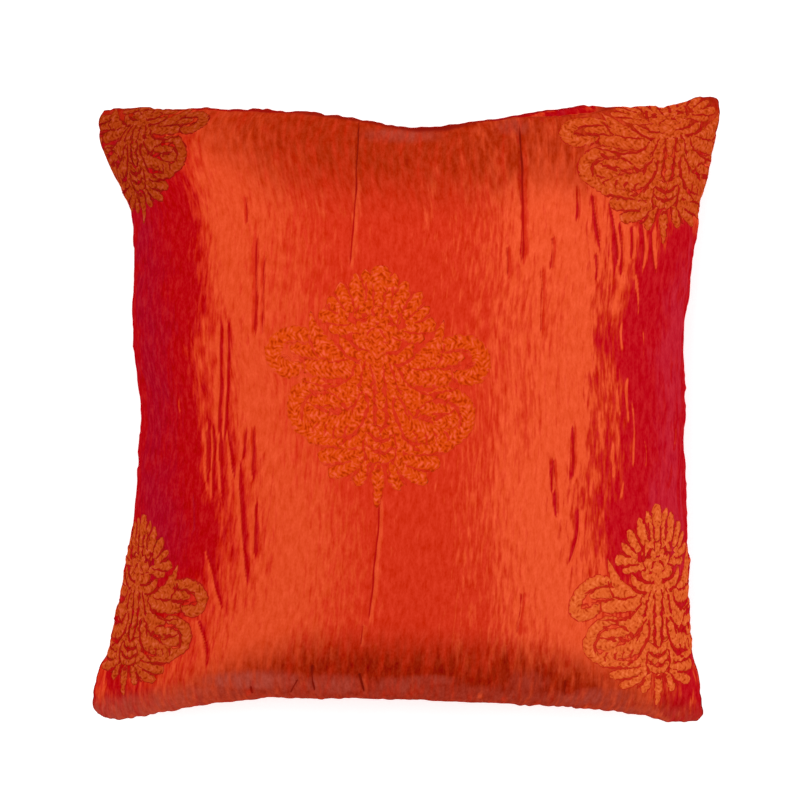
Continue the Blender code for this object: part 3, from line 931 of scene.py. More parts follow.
@functools.lru_cache(maxsize=1)
def simulated_folds():
    """Folds of the two panels on a coarse grid: how far a cloth simulation moves each point along its normal.

    Cloth a little larger than the filled shape is blown up with its rim held, and where the back lies flat it
    is held too. Its broad swelling is taken off again, so that the shape keeps its crown and only the folds
    stay.
    """
    line = np.linspace(-1, 1, FOLD_CELLS + 1)
    s, t = np.meshgrid(line, line)
    front, back = front_points(s, t), back_points(s, t)
    rim = rim_of(s.shape)
    points, faces, under = sewn_together(front, back, rim)
    mesh = bpy.data.meshes.new("folding")
    mesh.from_pydata(points.tolist(), [], faces)
    mesh.update()
    folding = bpy.data.objects.new("folding", mesh)
    scene = bpy.context.scene
    scene.collection.objects.link(folding)
    lying = back[..., 2] < MM
    held = np.concatenate([np.arange(s.size)[rim.ravel()], under[lying & ~rim]])
    folding.vertex_groups.new(name="held").add(held.tolist(), 1.0, "REPLACE")
    cloth = folding.modifiers.new("cloth", "CLOTH").settings
    cloth.quality = 6
    cloth.mass = 0.2
    cloth.tension_stiffness = 15
    cloth.compression_stiffness = 15
    cloth.shear_stiffness = 5
    cloth.bending_stiffness = 0.2
    cloth.shrink_min = -FOLD_GROWTH
    cloth.use_pressure = True
    cloth.uniform_pressure_force = FOLD_PRESSURE
    cloth.effector_weights.gravity = 0.0
    cloth.vertex_group_mass = "held"
    for frame in range(1, FOLD_FRAMES + 1):
        scene.frame_set(frame)
    folded = folding.evaluated_get(bpy.context.evaluated_depsgraph_get()).to_mesh()
    moved = np.empty(len(points) * 3)
    folded.vertices.foreach_get("co", moved)
    moved = moved.reshape(-1, 3) - points
    bpy.data.objects.remove(folding)
    scene.frame_set(1)
    panels = []
    over = np.arange(s.size).reshape(s.shape)
    for panel_points, numbers, side in ((front_points, over, 1), (back_points, under, -1)):
        height = (moved[numbers] * outward(panel_points, s, t, side)).sum(axis=-1)
        panels.append(np.clip(height - broad_part(height), -FOLD_CAP, FOLD_CAP))
    return np.stack(panels)


def folds(s, t, panel):
    """The simulated folds at any place of a panel: a cubic B-spline led by the heights of the coarse grid."""
    heights = np.pad(simulated_folds()[panel], 2, mode="edge")
    total = np.zeros_like(s)
    across, up = [(place + 1) / 2 * FOLD_CELLS for place in (s, t)]
    left, low = [np.clip(np.floor(place), 0, FOLD_CELLS - 1).astype(int) for place in (across, up)]
    shares = []
    for v in (across - left, up - low):
        last = v**3 / 6
        first = (1 - v) ** 3 / 6
        second = (4 - 6 * v**2 + 3 * v**3) / 6
        shares.append((first, second, 1 - first - second - last, last))
    for i in range(4):
        for j in range(4):
            total += shares[0][i] * shares[1][j] * heights[low + j + 1, left + i + 1]
    return total


def wander(s, t):
    """How far the cloth near a seam is off its smooth place: value noise along the seam, fading inwards."""
    across, up = np.zeros_like(s), np.zeros_like(s)
    for layer, row in enumerate(in_metres(WOBBLE_COLUMNS, WOBBLE_ROWS)):
        seed = CRINKLE_SEED + 30 + layer
        side = np.where(s > 0, 11.0, 53.0)
        end = np.where(t > 0, 23.0, 71.0)
        across += row["side_far"] * value_noise(t * HALF / row["side_pitch"] + 64, side, seed)
        up += row["end_far"] * value_noise(s * HALF / row["end_pitch"] + 64, end, seed)
    near_side = 1 - smooth_step((1 - np.abs(s)) * HALF / WOBBLE_REACH)
    near_end = 1 - smooth_step((1 - np.abs(t)) * HALF / WOBBLE_REACH)
    shift = np.where(t > 0, TOP_SHIFT, BOTTOM_SHIFT) * (1 - smooth_step((1 - np.abs(t)) * HALF / SHIFT_REACH))
    return np.stack([across * near_side, up * near_end + shift, np.zeros_like(s)], axis=-1)


def seen_from_above(points):
    """Where a point shows on the seam's level to a camera straight above."""
    shrink = CAMERA_HEIGHT / (CAMERA_HEIGHT + SEAM_HEIGHT - points[..., 2])
    x = CAMERA_AT[0] + (points[..., 0] - CAMERA_AT[0]) * shrink
    y = CAMERA_AT[1] + (points[..., 1] - CAMERA_AT[1]) * shrink
    return x, y


def distance_in(s, t):
    """Roughly how far a place on the flat cloth is from the nearest seam, in metres."""
    return (1.0 - np.maximum(np.abs(s), np.abs(t))) * HALF


def front_cloth(s, t):
    """The front with its troughs, tucks, folds and crinkles, its normals, and its tucks' depth in mm."""
    base = front_points(s, t)
    normal = outward(front_points, s, t, 1)
    sizes = bpy.context.scene.cushion_sizes
    x, y = seen_from_above(base)
    edge = smooth_step(distance_in(s, t) / EDGE_REACH)
    trough = creases(x, y, "trough", TROUGH_WIDTH) * smooth_step(distance_in(s, t) / TROUGH_REACH)
    tuck = creases(x, y, "tuck", TUCK_WIDTH) * sizes.tuck
    push = (sizes.crinkle * crinkles(s, t, 0) + sizes.folds * folds(s, t, 0) - trough - tuck) * edge
    return base + wander(s, t) + normal * push[..., None], normal, tuck / MM


def back_cloth(s, t):
    """The back with its folds and crinkles, which die out where it lies flat, its normals, and no tucks."""
    base = back_points(s, t)
    normal = outward(back_points, s, t, -1)
    sizes = bpy.context.scene.cushion_sizes
    edge = smooth_step(distance_in(s, t) / EDGE_REACH) * smooth_step(base[..., 2] / FLOOR_REACH)
    push = (sizes.crinkle * crinkles(s, t, 1) + sizes.folds * folds(s, t, 1)) * edge
    return base + wander(s, t) + normal * push[..., None], normal, np.zeros_like(s)


def centring():
    """How far the middle of the cushion's box is off the origin, which the part's source takes away too."""
    line = np.linspace(-1, 1, BOX_POINTS)
    s, t = np.meshgrid(line, line)
    box = np.concatenate([front_points(s, t).reshape(-1, 3), back_points(s, t).reshape(-1, 3)])
    middle = (box.min(axis=0) + box.max(axis=0)) / 2
    return np.array([middle[0], middle[1], 0.0])


def new_mesh(name, points, faces, material):
    """A smooth mesh object at the origin from its points and faces."""
    mesh = bpy.data.meshes.new(name)
    mesh.from_pydata(points.tolist(), [], faces)
    mesh.update()
    mesh.shade_smooth()
    mesh.materials.append(material)
    made = bpy.data.objects.new(name, mesh)
    bpy.context.scene.collection.objects.link(made)
    return made


def put_attribute(mesh, name, values):
    """Keeps a value, or a row of three as a vector, for each point of a mesh."""
    kind, part = ("FLOAT_VECTOR", "vector") if values.ndim > 1 else ("FLOAT", "value")
    layer = mesh.attributes.new(name, kind, "POINT")
    layer.data.foreach_set(part, values.astype(np.float32).ravel())


def add_node(tree, kind, settings=None, links=None):
    """Adds a node with its own settings, and each input set to a value or linked to another's output."""
    node = tree.nodes.new(kind)
    for name, value in (settings or {}).items():
        if name == "stops":
            ramp = node.color_ramp
            while len(ramp.elements) < len(value):
                ramp.elements.new(0.5)
            for element, (place, colour) in zip(ramp.elements, value):
                element.position = place
                element.color = colour
        else:
            setattr(node, name, value)
    for name, value in (links or {}).items():
        socket = node.inputs[name]
        if isinstance(value, bpy.types.NodeSocket):
            tree.links.new(value, socket)
        else:
            socket.default_value = value
    return node


def new_material(name):
    """An empty material with its node tree."""
    made = bpy.data.materials.new(name)
    made.use_nodes = True
    made.node_tree.nodes.clear()
    return made, made.node_tree


def span(low, high, to_low=0.0, to_high=1.0):
    """The limits of a range of values and of the range that it is stretched to."""
    return {"From Min": low, "From Max": high, "To Min": to_low, "To Max": to_high}


def speckled(tree, colour, height, amount):
    """Lightens and darkens a colour by how far a height from 0 to 1 is from a half, in steps of speckle."""
    swing = add_node(
        tree, "ShaderNodeMapRange", None, {"Value": height, **span(0.0, 1.0, -amount / 2, amount / 2)}
    ).outputs[0]
    step = add_node(
        tree, "ShaderNodeVectorMath", {"operation": "MULTIPLY_ADD"}, {0: colour, 1: SPECKLE_SHARE, 2: SPECKLE}
    )
    scaled = add_node(
        tree, "ShaderNodeVectorMath", {"operation": "SCALE"}, {0: step.outputs[0], "Scale": swing}
    )
    added = add_node(tree, "ShaderNodeVectorMath", {"operation": "ADD"}, {0: colour, 1: scaled.outputs[0]})
    return add_node(
        tree, "ShaderNodeVectorMath", {"operation": "MAXIMUM"}, {0: added.outputs[0], 1: DARKEST}
    ).outputs[0]


def cloth_noise(tree, place, scale, detail=2.0):
    """Noise on the flat cloth, with its own scale across and up, in lattice cells a metre."""
    drawn = add_node(tree, "ShaderNodeMapping", links={"Vector": place, "Scale": scale})
    noise = add_node(
        tree, "ShaderNodeTexNoise", links={"Vector": drawn.outputs["Vector"], "Scale": 1.0, "Detail": detail}
    )
    return noise.outputs["Fac"]


def shot_colour(tree, crinkle):
    """The colour of the shot cloth at a slope, a painted sheen, with the painted shade and sheen along the
    edges and its finer crinkles.
    """
    colours = bpy.context.scene.cushion_colours
    across = add_node(tree, "ShaderNodeAttribute", {"attribute_name": "lean_across"}).outputs["Fac"]
    place = add_node(tree, "ShaderNodeAttribute", {"attribute_name": "cloth_place"}).outputs["Vector"]
    bands = add_node(tree, "ShaderNodeAttribute", {"attribute_name": "bands"}).outputs["Vector"]
    split = add_node(tree, "ShaderNodeSeparateXYZ", links={"Vector": bands})
    # Streaks 2 mm apart and 12 mm long, and gathers 4 mm apart and 26 mm long
    streak = cloth_noise(tree, place, (500, 80, 1))
    gather = cloth_noise(tree, place, (250, 38, 1), 4.0)
    swing = add_node(tree, "ShaderNodeMapRange", None, {"Value": streak, **span(0.25, 0.75, -0.07, 0.07)})
    gathered = add_node(tree, "ShaderNodeMapRange", None, {"Value": gather, **span(0.3, 0.7, -1.0, 1.0)})
    lean = add_node(tree, "ShaderNodeMath", {"operation": "ADD"}, {0: across, 1: swing.outputs[0]})
    shown = add_node(
        tree, "ShaderNodeMapRange", None, {"Value": lean.outputs[0], **span(-LEAN_LIMIT, LEAN_LIMIT)}
    )
    # The slope picks a painted sheen: orange where the weft catches the light, red facing straight up,
    # crimson, purple and rose where the cloth turns from the light
    stops = (
        (-0.72, colours.purple),
        (-0.52, colours.crimson),
        (-0.41, colours.crimson),
        (-0.34, colours.rust),
        (-0.26, colours.orange),
        (-0.17, colours.orange),
        (-0.08, colours.red),
        (0.08, colours.red),
        (0.17, colours.orange_right),
        (0.25, colours.orange_right),
        (0.31, colours.rust),
        (0.36, colours.crimson_right),
        (0.55, colours.crimson_right),
        (0.70, colours.rose),
    )
    colour = add_node(
        tree,
        "ShaderNodeValToRGB",
        {"stops": [((at + LEAN_LIMIT) / (2 * LEAN_LIMIT), tuple(colour)) for at, colour in stops]},
        {"Fac": shown.outputs[0]},
    ).outputs["Color"]
    # The painted shade at the top and bottom and the painted sheen beside them: each band comes and goes with
    # the gathers, by a share of its own
    dulled = (("Y", colours.bottom_band_shade, 0.45), ("X", colours.top_band_shade, 0.5), ("Z", colours.painted_sheen, 0.6))
    for axis, dull, patchy in dulled:
        share = add_node(
            tree, "ShaderNodeMath", {"operation": "MULTIPLY"}, {0: gathered.outputs[0], 1: patchy}
        )
        swung = add_node(
            tree,
            "ShaderNodeMath",
            {"operation": "MULTIPLY_ADD", "use_clamp": True},
            {0: share.outputs[0], 1: split.outputs[axis], 2: split.outputs[axis]},
        )
        colour = add_node(
            tree,
            "ShaderNodeMix",
            {"data_type": "RGBA"},
            {"Factor": swung.outputs[0], FIRST: colour, SECOND: tuple(dull)},
        ).outputs[MIXED]
    # The cloth is painted lighter on the crests of the fine crinkles and darker in their hollows
    return speckled(tree, colour, crinkle, CRINKLE_SPECKLE)


def shot_taffeta():
    """Crinkled taffeta of crimson and orange silk, woven plain and shot.

    Each thread shows more as the cloth turns, so the slope of the surface picks the colour: a painted sheen,
    fixed to the surface, that stands in for the light the threads reflect. Fine crinkles give streaks of the
    one colour in the other, and the cloth is painted lighter on their crests and darker in their hollows. The
    tucks, the seams and the bands along the top and bottom are painted darker as shade, and strips and spots
    beside them lighter as painted highlights. The dull silk has no gloss of its own.
    """
    made, tree = new_material("shot_taffeta_woven")
    colours = bpy.context.scene.cushion_colours
    lines = add_node(tree, "ShaderNodeAttribute", {"attribute_name": "creases"}).outputs["Vector"]
    split = add_node(tree, "ShaderNodeSeparateXYZ", links={"Vector": lines})
    depth, dull, seam = [split.outputs[axis] for axis in "XYZ"]
    place = add_node(tree, "ShaderNodeAttribute", {"attribute_name": "cloth_place"}).outputs["Vector"]
    # Crinkles 3 mm by 9 mm, and slubs 1.2 mm by 2.2 mm, coarser than the real ones so that they show
    crinkle = cloth_noise(tree, place, (330, 110, 1))
    slub = cloth_noise(tree, place, (850, 450, 1))
    colour = speckled(tree, shot_colour(tree, crinkle), slub, SLUB_SPECKLE)
    # Painted shade: the bottom of each tuck is painted dark, darker still in the painted shade bands, and
    # then the seam's dark line, partly its thread and partly painted shadow
    deepest = add_node(
        tree,
        "ShaderNodeMix",
        {"data_type": "RGBA"},
        {"Factor": dull, FIRST: tuple(colours.tuck), SECOND: tuple(colours.tuck_deep_shade)},
    ).outputs[MIXED]
    in_tuck = add_node(tree, "ShaderNodeMapRange", None, {"Value": depth, **span(0.25, 0.5)}).outputs[0]
    for share, over in ((in_tuck, deepest), (seam, tuple(colours.seam))):
        colour = add_node(
            tree, "ShaderNodeMix", {"data_type": "RGBA"}, {"Factor": share, FIRST: colour, SECOND: over}
        ).outputs[MIXED]
    relief = add_node(
        tree, "ShaderNodeBump", links={"Height": crinkle, "Strength": 0.35, "Distance": 0.0008}
    )
    grained = add_node(
        tree,
        "ShaderNodeBump",
        links={"Height": slub, "Strength": 0.3, "Distance": 0.0003, "Normal": relief.outputs["Normal"]},
    )
    shader = add_node(
        tree,
        "ShaderNodeBsdfPrincipled",
        links={
            "Base Color": colour,
            "Roughness": 0.5,
            "Specular IOR Level": 0.0,
            "Normal": grained.outputs["Normal"],
        },
    )
    add_node(tree, "ShaderNodeOutputMaterial", links={"Surface": shader.outputs["BSDF"]})
    return made


def medallion_weave():
    """Damask leaves of the same silk: the orange thread floats over the crimson ground in slanting rows.

    The floats catch the light as flecks, painted lighter where they stand up and darker where they sink, and
    the leaf is painted a little darker at its edge, as shade where it turns down to the cloth. Each medallion
    is painted darker or lighter by how the light falls on it. Where the cloth faces up, leaf and ground come
    closer in colour, as part of the painted sheen. The rows are further apart than woven ones, so that they
    show.
    """
    made, tree = new_material("damask_floats_woven")
    colours = bpy.context.scene.cushion_colours
    sizes = bpy.context.scene.cushion_sizes
    look = add_node(tree, "ShaderNodeAttribute", {"attribute_name": "look"}).outputs["Vector"]
    leaf_place = add_node(tree, "ShaderNodeAttribute", {"attribute_name": "leaf_place"}).outputs["Vector"]
    place = add_node(tree, "ShaderNodeAttribute", {"attribute_name": "cloth_place"}).outputs["Vector"]
    share = add_node(tree, "ShaderNodeAttribute", {"attribute_name": "cloth_share"}).outputs["Fac"]
    kept = add_node(tree, "ShaderNodeSeparateXYZ", links={"Vector": look})
    ground, facing_up, painted_light_level = [kept.outputs[axis] for axis in "XYZ"]
    split = add_node(tree, "ShaderNodeSeparateXYZ", links={"Vector": leaf_place})
    side, along, edge = [split.outputs[axis] for axis in "XYZ"]
    off = add_node(tree, "ShaderNodeMath", {"operation": "ABSOLUTE"}, {0: side})
    slant = add_node(
        tree, "ShaderNodeMath", {"operation": "MULTIPLY_ADD"}, {0: off.outputs[0], 1: SLANT, 2: along}
    )
    row = add_node(
        tree, "ShaderNodeMath", {"operation": "MULTIPLY"}, {0: slant.outputs[0], 1: 2 * np.pi / sizes.stitch}
    )
    # The rows of floats waver every 4 mm, and flecks 3 mm apart break them up
    uneven = cloth_noise(tree, place, (240, 240, 1))
    waver = add_node(tree, "ShaderNodeMapRange", None, {"Value": uneven, **span(0.25, 0.75, -1.6, 1.6)})
    wavy = add_node(tree, "ShaderNodeMath", {"operation": "ADD"}, {0: row.outputs[0], 1: waver.outputs[0]})
    wave = add_node(tree, "ShaderNodeMath", {"operation": "SINE"}, {0: wavy.outputs[0]})
    fleck = cloth_noise(tree, place, (330, 270, 1), 1.0)
    mixed = add_node(
        tree, "ShaderNodeMath", {"operation": "MULTIPLY_ADD"}, {0: wave.outputs[0], 1: ROW_SHARE, 2: fleck}
    ).outputs[0]
    turned = (
        (0.24, colours.leaf_edge_shade),
        (0.44, colours.leaf),
        (0.54, colours.leaf),
        (0.78, colours.leaf_fleck),
    )
    upward = (
        (0.29, colours.leaf_shade),
        (0.46, colours.leaf_top),
        (0.54, colours.leaf_top),
        (0.76, colours.leaf_bloom),
    )
    leaf, leaf_facing_up = [
        add_node(
            tree,
            "ShaderNodeValToRGB",
            {"stops": [(at, tuple(colour)) for at, colour in stops]},
            {"Fac": mixed},
        ).outputs["Color"]
        for stops in (turned, upward)
    ]
    # Painted shade at the leaf's edge
    edge_shade = add_node(
        tree, "ShaderNodeMapRange", None, {"Value": edge, **span(0.5, 1.0, 0.0, EDGE_SHADE_SHARE)}
    ).outputs[0]
    for factor, over in ((facing_up, leaf_facing_up), (edge_shade, tuple(colours.leaf_edge_shade))):
        leaf = add_node(
            tree, "ShaderNodeMix", {"data_type": "RGBA"}, {"Factor": factor, FIRST: leaf, SECOND: over}
        ).outputs[MIXED]
    # The floats end raggedly: the cloth shows where a fleck and a row of floats fall short of the edge
    reach = add_node(tree, "ShaderNodeMath", {"operation": "ADD"}, {0: mixed, 1: edge})
    short = add_node(tree, "ShaderNodeMapRange", None, {"Value": reach.outputs[0], **span(1.30, 1.44)})
    bare = add_node(
        tree, "ShaderNodeMath", {"operation": "MAXIMUM"}, {0: short.outputs[0], 1: ground}
    ).outputs[0]
    # Painted light and shade: each medallion's leaves and ground are darkened or lightened by how the light
    # falls on it
    shaded_leaf = add_node(tree, "ShaderNodeHueSaturation", links={"Color": leaf, "Value": painted_light_level})
    leaf = speckled(tree, shaded_leaf.outputs["Color"], mixed, LEAF_SPECKLE)
    crimson = add_node(tree, "ShaderNodeHueSaturation", links={"Color": tuple(colours.ground), "Value": painted_light_level})
    between = add_node(
        tree,
        "ShaderNodeMix",
        {"data_type": "RGBA"},
        {"Factor": share, FIRST: crimson.outputs["Color"], SECOND: shot_colour(tree, fleck)},
    ).outputs[MIXED]
    colour = add_node(
        tree, "ShaderNodeMix", {"data_type": "RGBA"}, {"Factor": bare, FIRST: leaf, SECOND: between}
    ).outputs[MIXED]
    relief = add_node(tree, "ShaderNodeBump", links={"Height": mixed, "Strength": 0.12, "Distance": 0.0005})
    shader = add_node(
        tree,
        "ShaderNodeBsdfPrincipled",
        links={
            "Base Color": colour,
            "Roughness": 0.55,
            "Specular IOR Level": 0.0,
            "Normal": relief.outputs["Normal"],
        },
    )
    add_node(tree, "ShaderNodeOutputMaterial", links={"Surface": shader.outputs["BSDF"]})
    return made


def pale_table():
    """Opal acrylic, cast and lit softly from within, whose faint mottle keeps it from looking blank."""
    made, tree = new_material("opal_acrylic_cast")
    where = add_node(tree, "ShaderNodeTexCoord")
    mottle = add_node(
        tree, "ShaderNodeTexNoise", links={"Vector": where.outputs["Object"], "Scale": 6.0, "Detail": 3.0}
    )
    shade = add_node(
        tree,
        "ShaderNodeValToRGB",
        {"stops": [(0.3, linear("#F2F2F2")), (0.7, linear("#F8F8F8"))]},
        {"Fac": mottle.outputs["Fac"]},
    )
    shader = add_node(
        tree,
        "ShaderNodeBsdfPrincipled",
        links={
            "Base Color": shade.outputs["Color"],
            "Roughness": 0.9,
            "Emission Color": (1, 1, 1, 1),
            "Emission Strength": TABLE_GLOW,
        },
    )
    add_node(tree, "ShaderNodeOutputMaterial", links={"Surface": shader.outputs["BSDF"]})
    return made


def squared_away(x, y, patch):
    """The squared distance of a place from a patch's middle, in its reaches across and up."""
    return ((x / MM - patch["x"]) / patch["across"]) ** 2 + ((y / MM - patch["y"]) / patch["up"]) ** 2


def turn_across(x, y):
    """The slope across that picks the painted sheen at a place: clipped steps between the turn table's lines,
    and the painted patches.
    """
    table = by_column(TURN_COLUMNS, TURN_ROWS)
    lines = [np.interp(y, table["y"] * MM, table[name] * MM) for name in TURN_COLUMNS[1:]]
    lines = [lines[0] - SHOULDER, *lines, lines[-1] + SHOULDER]
    slopes_at = [-STEEPEST, *TURN_SLOPES, STEEPEST]
    turn = np.full_like(x, -STEEPEST)
    for line, after, slope, slope_after in zip(lines, lines[1:], slopes_at, slopes_at[1:]):
        turn += (slope_after - slope) * np.clip((x - line) / (after - line), 0, 1)
    for patch in by_name(TURN_PATCH_COLUMNS, TURN_PATCH_ROWS):
        turn += patch["slope"] * np.exp(-squared_away(x, y, patch))
    return turn


def band(x, y, rows):
    """How strongly a painted band along an edge shows: 0 where it starts, its strength where it is fullest.
    """
    table = by_column(BAND_COLUMNS, rows)
    starts, full = [np.interp(x, table["x"] * MM, table[name] * MM) for name in ("starts", "full")]
    strength = np.interp(x, table["x"] * MM, table["strength"])
    return strength * smooth_step((y - starts) / (full - starts))


def edge_bands(x, y):
    """The front's bands: the painted shade along its top and bottom, and the painted sheen in them."""
    top, low, strip = [band(x, y, rows) for rows in (TOP_BAND_ROWS, LOW_BAND_ROWS, STRIP_ROWS)]
    for patch in by_name(PATCH_COLUMNS, PATCH_ROWS):
        strip = np.maximum(strip, patch["strength"] * np.exp(-(squared_away(x, y, patch) ** 2)))
    return np.stack([top, low, strip], axis=-1)


def back_bands(lean_up, s, t):
    """The painted shade bands of the back, darker as it leans up or down, without the upper one beside the
    top seam.
    """
    beside = smooth_step((1 - t) * HALF / BACK_STRIP)
    return np.stack([smooth_step(lean_up) * beside, smooth_step(-lean_up), np.zeros_like(s)], axis=-1)


def slopes(normal):
    """How far a surface leans to the right and up the face: the normal's share of each over its height."""
    height = np.maximum(np.abs(normal[..., 2]), LEAST_HEIGHT)
    return normal[..., 0] / height, normal[..., 1] / height


def grid_normals(points, side):
    """Unit normals of a grid of points, from the differences of its neighbours."""
    right = np.gradient(points, axis=1)
    up = np.gradient(points, axis=0)
    normal = np.cross(right, up) * side
    return normal / np.maximum(np.linalg.norm(normal, axis=-1, keepdims=True), TINY)


def cloth_grid():
    """The flat cloth's grid: even across, and with its rows closer together at the top and bottom seams."""
    s = np.linspace(-1, 1, CLOTH_COLUMNS + 1)
    u = np.linspace(-1, 1, CLOTH_ROWS + 1)
    t = u + ROW_CROWDING * np.sin(np.pi * u) / np.pi
    beside = 1 - np.array(SEAM_ROWS) / HALF
    t = np.sort(np.concatenate([t[np.abs(t) < beside.min()], [-1, 1], beside, -beside]))
    return np.meshgrid(s, t)


def cloth_looks(s, t, cloth, normal, tuck, side):
    """What the taffeta reads at the points of a panel, whose side is 1 for the front and -1 for the back.

    These are the slope across that picks the painted sheen, the place on the uncut cloth, the strength of
    each painted shade or sheen band, and the lines: how deep the tuck is there, which sets its painted shade,
    how far the cloth beside it lies in a painted shade band, and how dark the seam is painted, partly its
    thread and partly painted shadow.
    """
    broad, fine = slopes(normal), slopes(grid_normals(cloth, side))
    x, y = seen_from_above(cloth)
    inwards = distance_in(s, t)
    crimson = BACK_STRIP_TURN * (1 - smooth_step((1 - t) * HALF / BACK_STRIP))
    turned = turn_across(x, y) if side > 0 else broad[0] + crimson
    past = band(x, y, BACK_STRIP_ROWS) * (side > 0)
    turned = turned + (BACK_TURN - turned) * past
    shade = edge_bands(x, y) if side > 0 else back_bands(broad[1], s, t)
    shade[..., 0] *= 1 - past
    # Painted highlights along thin lines: the cloth turns less there and its painted shade fades
    painted_highlight = (side > 0) * creases(x, y, "strength", PAINTED_HIGHLIGHT_WIDTH, PAINTED_HIGHLIGHT_COLUMNS, PAINTED_HIGHLIGHT_ROWS) / MM
    turned = turned * (1 - PAINTED_HIGHLIGHT_TURN * painted_highlight)
    shade = shade * (1 - PAINTED_HIGHLIGHT_TURN * painted_highlight)[..., None]
    seam = 1 - smooth_step((inwards - SEAM_THREAD) / SEAM_FADE)
    seam = np.maximum(seam, 4 * BACK_LINE * past * (1 - past))
    near = 1 - smooth_step((inwards - TOP_SHADE_REACH) / TOP_SHADE_FADE)
    seam = np.maximum(seam, band(x, y, TOP_SEAM_ROWS) * (near if side < 0 else 1)) * (1 - painted_highlight)
    across = turned + TURN_GAIN * np.clip(fine[0] - broad[0], -CRINKLE_CAP, CRINKLE_CAP)
    uncut = np.stack([s * HALF, t * HALF + (side < 0) * BACK_PANEL_AT, np.zeros_like(s)], axis=-1)
    lines = np.stack([tuck, np.maximum(shade[..., 0], shade[..., 1]), seam], axis=-1)
    return {"lean_across": across, "cloth_place": uncut, "bands": shade, "creases": lines}


class CUSHION_OT_fill_cover(bpy.types.Operator):
    """Sews the front and back panels of crinkled cloth together and fills them."""

    bl_idname = "cushion.fill_cover"
    bl_label = "Fill the cover"

    def execute(self, context):
        s, t = cloth_grid()
        shift = centring()
        front, front_normal, front_tuck = front_cloth(s, t)
        back, back_normal, back_tuck = back_cloth(s, t)
        rim = rim_of(s.shape)
        back[rim] = front[rim]
        points, faces, _ = sewn_together(front, back, rim)
        cover = new_mesh("cushion_cloth", points - shift, faces, shot_taffeta())
        over = cloth_looks(s, t, front, front_normal, front_tuck, 1)
        under = cloth_looks(s, t, back, back_normal, back_tuck, -1)
        for name, values in over.items():
            upper = values.reshape(-1, *values.shape[2:])
            put_attribute(cover.data, name, np.concatenate([upper, under[name][~rim]]))
        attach(cover, "root")
        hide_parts("cushion_cover")
        return {"FINISHED"}


def rounded(u, power):
    """How a shape closes at both its ends: the square root of 1 - |2u - 1|^power."""
    return np.sqrt(np.clip(1 - np.abs(2 * u - 1) ** power, 0, 1))


def parabolas(table, u):
    """The points at u, from 0 to 1, of the parabola through each row's root, middle and tip."""
    start, halfway, end = (1 - u) * (1 - 2 * u), 4 * u * (1 - u), u * (2 * u - 1)
    lines = []
    for axis in "xy":
        root, middle, tip = [table[axis + part][:, None] for part in ("_root", "_mid", "_tip")]
        lines.append(start * root + halfway * middle + end * tip)
    return lines


def scroll_lines(table, u):
    """The points at u of each scroll, whose heading turns on by its turn times u to its quickening."""
    x, y, heading, length, turn, quickening = [table[name][:, None] for name in SCROLL_COLUMNS[:6]]
    angle = np.radians(heading + turn * u**quickening)
    between = (angle[:, 1:] + angle[:, :-1]) / 2
    step = length / (ALONG - 1)
    zero = np.zeros_like(x)
    x_line = x + step * np.concatenate([zero, np.cumsum(np.cos(between), axis=1)], axis=1)
    y_line = y + step * np.concatenate([zero, np.cumsum(np.sin(between), axis=1)], axis=1)
    return x_line, y_line


def half_widths(table, u, power):
    """Half widths at u: evenly from root to tip, with a swell of 4u(1 - u), and closed at both ends."""
    root, middle, tip = [table[part][:, None] for part in ("root", "middle", "tip")]
    halfway = 4 * u * (1 - u)
    return (root * (1 - u) + tip * u + (middle - (root + tip) / 2) * halfway) * rounded(u, power) / 2


def leaf_lines(mirror):
    """Middle lines and half widths of every leaf and scroll, in hundredths of a medallion's half sizes."""
    u = np.linspace(0, 1, ALONG)[None, :]
    leaves = by_column(LEAF_COLUMNS, LEAF_ROWS + (AXIS_LEAF_ROWS if mirror > 0 else ()))
    scrolls = by_column(SCROLL_COLUMNS, SCROLL_ROWS)
    x, y = [np.concatenate(pair) for pair in zip(parabolas(leaves, u), scroll_lines(scrolls, u))]
    wide = np.concatenate([half_widths(leaves, u, LEAF_ENDS), half_widths(scrolls, u, SCROLL_ENDS)])
    return x * mirror, y, wide


def gap_lines(mirror):
    """Middle lines and half widths of the gaps between the leaves, as for the leaves."""
    u = np.linspace(0, 1, ALONG)[None, :]
    gaps = by_column(GAP_COLUMNS, GAP_ROWS)
    x, y = parabolas(gaps, u)
    return x * mirror, y, gaps["width"][:, None] * rounded(u, LEAF_ENDS) / 2


